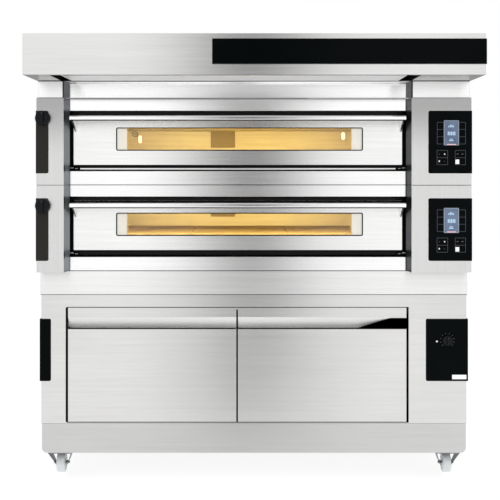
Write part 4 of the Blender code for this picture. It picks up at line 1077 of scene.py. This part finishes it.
# ---------------------------------------------------------------- steam dampers
# A charcoal strip on each left corner carries the damper knob; its zinc shaft turns a flap in the
# galvanised steam duct at the rear.
strip_grey, shader, place = new_finish("charcoal strip", (0.026, 0.024, 0.021), 0.34, Specular_IOR_Level=0.15)
pits = place.cells(700.0)
haze = place.noise(12.0, 3.0)
feed(shader, Base_Color=haze.mix((0.018, 0.017, 0.014), (0.030, 0.028, 0.024)), Roughness=0.28 + pits * 0.16,
     Normal=pits.bump(0.06, 0.0002))
for deck in DECKS:
    node = f"{deck}_damper_panel"
    strip = corner_panel(node, 0.0065, 0.0017)
    piece(f"{deck}_damper_strip", strip, strip_grey, "oven", [node], 0.0007)
    knob(f"{deck}_damper_knob", f"{deck}_damper", 0.35, 0.30)
    shaft = f"{deck}_damper_shaft"
    piece(f"{deck}_damper_spindle", copied(shaft), zinc, f"{deck}_damper", [shaft])
piece("steam_riser", copied("steam_duct"), galvanised, "oven", ["steam_duct"])

# ---------------------------------------------------------------- hood
# A folded stainless hood with an open underside and a black band on its front stands on a base ring with
# pillar caps.  Steam is drawn in through an aluminium baffle filter under the front edge, with black
# blanks beside it and a drip lip behind it, and leaves by the round collar on top.
piece("hood_base_ring", copied("hood_base"), satin_fascia, "oven", ["hood_base"], 0.0010)
piece("hood_sheet", copied("hood_canopy"), satin_hood, "oven", ["hood_canopy"],
      0.0020, 3)

low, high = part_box("hood_base")
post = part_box("upper_left_pillar")
cap_faces = ((post[1].x, 1), (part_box("upper_right_pillar")[0].x, -1))
cheeks = []
for inner, outward in cap_faces:
    wedge = [(inner - outward * 0.0045, post[0].y + 0.0030), (inner + outward * 0.0006, post[0].y + 0.0030),
             (inner + outward * 0.0102, cheek_back), (inner - outward * 0.0045, cheek_back)]
    cheeks.append(loft([at_z(wedge, low.z + 0.0010), at_z(wedge, high.z - 0.0002)]))
piece("hood_base_cheeks", together(*cheeks), cheek_grey, "oven")
cap_spans = ((low.x + 0.0010, cap_faces[0][0] - 0.0010), (cap_faces[1][0] + 0.0010, high.x - 0.0010))
shadow_gaps = [pane(x, (high.z - 0.0024, high.z), (low.y - 0.0003, low.y + 0.0004)) for x in cap_spans]
piece("hood_cap_joints", together(*shadow_gaps), soot, "oven")
seams = [pane((post[1].x + 0.0105, cap_faces[1][0] - 0.0105), (z - 0.0013, z + 0.0013), (-0.3954, -0.3944))
         for z in (low.z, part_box("upper_casing")[0].z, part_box("lower_casing")[0].z)]
piece("fascia_seams", together(*seams), soot, "oven")
posts = [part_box(f"upper_{hand}_pillar") for hand in ("left", "right")]
seams = [pane((a.x + 0.0010, b.x - 0.0010), (z - 0.0005, z + 0.0005), (a.y - 0.0003, a.y + 0.0004))
         for a, b in posts for z in (low.z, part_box("upper_casing")[0].z)]
piece("pillar_seams", together(*seams), soot, "oven")

band = corner_panel("hood_band", 0.0010, 0.0027)
piece("hood_black_band", band, gloss, "oven", ["hood_band"], 0.0010, 3)

anodised, shader, place = new_finish("anodised aluminium", (0.90, 0.90, 0.90), 0.35, 0.35)
frost = place.noise(30.0, 3.0)
feed(shader, Base_Color=frost.mix((0.88, 0.88, 0.88), (0.95, 0.95, 0.95)), Roughness=0.30 + frost * 0.15)

canopy_low, canopy_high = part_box("hood_canopy")
mouth_x, mouth_y = (-0.6950, 0.5500), (-0.6795, -0.4055)
baffle_z = canopy_low.z
baffle = [(-0.0118, 0.0034), (-0.0112, 0.0002), (0.0118, 0.0002), (0.0122, 0.0050), (0.0116, 0.0050),
          (0.0112, 0.0010), (-0.0106, 0.0010), (-0.0112, 0.0034)]
blade = loft([at_x(baffle, mouth_x[0] + 0.0105), at_x(baffle, mouth_x[1] - 0.0105)])
blades = repeated(blade, anodised, 1, 11, (0, mouth_y[0] + 0.0142, baffle_z), (0, 0, 0), (0, 0.02455, 0))
rim = []
for margin, t in ((0.0, 0.0002), (0.0, 0.0080), (-0.0110, 0.0080), (-0.0110, 0.0002)):
    rim.append(at_z(rounded(grow(mouth_x, margin), grow(mouth_y, margin), 0.0010, 2), baffle_z + t))
piece("hood_baffle_filter", together(loft(rim, closed=True), blades), anodised, "oven")

blanks = []
for x in ((-0.7345, mouth_x[0] - 0.0004), (mouth_x[1] + 0.0004, 0.5995)):
    shell = ((0.0, 0.0002), (0.0, 0.0600), (-0.0170, 0.0600), (-0.0170, 0.0585), (-0.0015, 0.0585),
             (-0.0015, 0.0002))
    walls = [at_z(rounded(grow(x, g), grow(mouth_y, g), 0.0004, 1), baffle_z + t) for g, t in shell]
    blanks.append(loft(walls, closed=True))
    blanks.append(slab(grow(x, -0.0165), grow(mouth_y, -0.0165), (baffle_z + 0.0586, baffle_z + 0.0599)))
piece("hood_mouth_blanks", together(*blanks), soot, "oven")
apron = [slab((cap_faces[0][0] + 0.0100, cap_faces[1][0] - 0.0100), y, (baffle_z - drop, baffle_z - 0.0002))
         for y, drop in (((-0.4150, -0.4002), 0.0012), ((-0.4000, -0.3945), 0.0085))]
piece("hood_rear_apron", together(*apron), satin_fascia, "oven")

skirt_z = canopy_low.z + 0.020
heads = together(repeated(back_screw, screw_steel, 8, 1, (-0.77, canopy_high.y, skirt_z), (0.22, 0, 0)),
                 repeated(left_screw, screw_steel, 5, 1, (canopy_low.x, -0.52, skirt_z), (0, 0.27, 0)),
                 repeated(right_screw, screw_steel, 4, 1, (canopy_high.x, -0.52, skirt_z), (0, 0.27, 0)))
piece("hood_screws", heads, screw_steel, "oven")
bead_centre = (0.0, 0.450, canopy_high.z)
bead = turned([(0.0750, -0.0060), (0.0762, -0.0066), (0.0780, -0.0055), (0.0785, -0.0035), (0.0780, -0.0015),
               (0.0762, -0.0004), (0.0750, -0.0010)], bead_centre, (0, 0, 1), 64, True)
piece("hood_collar_bead", bead, satin, "oven")

# ---------------------------------------------------------------- studio
# A plain pale floor and soft light.  The surround looks white, but the steel mirrors a bright front with
# a dark gap behind the camera, grey sides, and a floor with a darker lane and edges.  One wide light
# hangs overhead, and warm lamps light the chambers.
scene = bpy.context.scene
scene.view_settings.view_transform = "Standard"

floor_span = (-9.0, 9.0)
floor_mesh = slab(floor_span, floor_span, (-0.02, 0.0), 0.5, 5)
floor_paint, shader, place = new_finish("pale floor", (0.30, 0.30, 0.30), 0.8, Emission_Strength=0.80)
pale = place.noise(1.5, 2.0).mix((0.29, 0.29, 0.29), (0.31, 0.31, 0.31))
x, y, z = split(place)
lane = place.maths("EXPONENT", (x * x) * -5.5) * (1.0 - y.ramp(-1.7, -0.9)) * 0.48
aside = x.maths("ABSOLUTE", x).ramp(1.2, 2.4) * 0.45 + y.ramp(-0.6, 0.8) * 0.35
in_view = place.node("ShaderNodeLightPath", None, None, "Is Camera Ray")
dim = (1.0 - in_view) * (lane + aside)
feed(shader, Base_Color=pale, Emission_Color=dim.mix((1.0, 1.0, 1.0), (0.0, 0.0, 0.0)))
floor_mesh.materials.append(floor_paint)
floor = bpy.data.objects.new("floor", floor_mesh)
scene.collection.objects.link(floor)

world = bpy.data.worlds.new("studio")
scene.world = world
world.use_nodes = True
sky = world.node_tree.nodes["Background"]
way = Signal(world.node_tree.nodes.new("ShaderNodeTexCoord").outputs["Generated"])
x, y, z = split(way)
ahead = way.maths("MINIMUM", y, -0.02) * -1.0
slope = x / ahead
rise = z / ahead
gap = way.maths("EXPONENT", (slope * slope) * -240.0) * (y < 0.0)
depth = 0.98 - rise.ramp(0.30, 0.90) * 0.60
front = 1.12 - gap * depth
surround = 0.50 + z.ramp(-0.1, 0.9) * 0.38
facing = (1.0 - slope.maths("ABSOLUTE", slope).ramp(0.36, 0.62)) * (y < 0.0)
level = surround + (front - surround) * facing
seen = way.node("ShaderNodeLightPath", None, None, "Is Camera Ray")
strength = seen + (1.0 - seen) * level
world.node_tree.links.new(strength.socket, sky.inputs["Strength"])
sky.inputs["Color"].default_value = (1.0, 1.0, 1.0, 1.0)


def soft_light(name, size, power, place_at, target, colour=(1, 1, 1)):
    """A soft rectangular light that the camera doesn't see."""
    light = bpy.data.lights.new(name, "AREA")
    light.shape = "RECTANGLE"
    light.size, light.size_y = size
    light.energy = power
    light.color = colour
    lamp = bpy.data.objects.new(name, light)
    scene.collection.objects.link(lamp)
    lamp.location = place_at
    lamp.rotation_euler = (Vector(target) - Vector(place_at)).to_track_quat("-Z", "Y").to_euler()
    lamp.visible_camera = False


soft_light("overhead", (5.0, 4.0), 20.0, (0.0, -1.5, 5.0), (0.0, 0.0, 0.5))
for deck in DECKS:
    low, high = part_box(f"{deck}_chamber")
    stone_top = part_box(f"{deck}_stone_floor")[1].z
    roof = high.z - 0.012
    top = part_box(f"{deck}_top_element")[0].z - 0.004
    soft_light(f"{deck}_roof_light", (1.05, 0.10), 2.7, (-0.06, -0.16, top), (-0.06, 0.40, stone_top),
               (1.0, 0.82, 0.32))
    soft_light(f"{deck}_floor_light", (1.10, 0.05), 2.5, (-0.06, -0.24, stone_top + 0.012),
               (-0.06, 0.55, roof), (1.0, 0.86, 0.38))

camera_data = bpy.data.cameras.new("camera")
camera = bpy.data.objects.new("camera", camera_data)
scene.collection.objects.link(camera)
camera.location = (-0.015, -4.165, 1.201)
camera.rotation_euler = (radians(90.0), 0.0, 0.0)
camera_data.sensor_width = 36.0
camera_data.lens = 70.0
camera_data.shift_y = -0.16
camera_data.clip_end = 60.0
scene.camera = camera
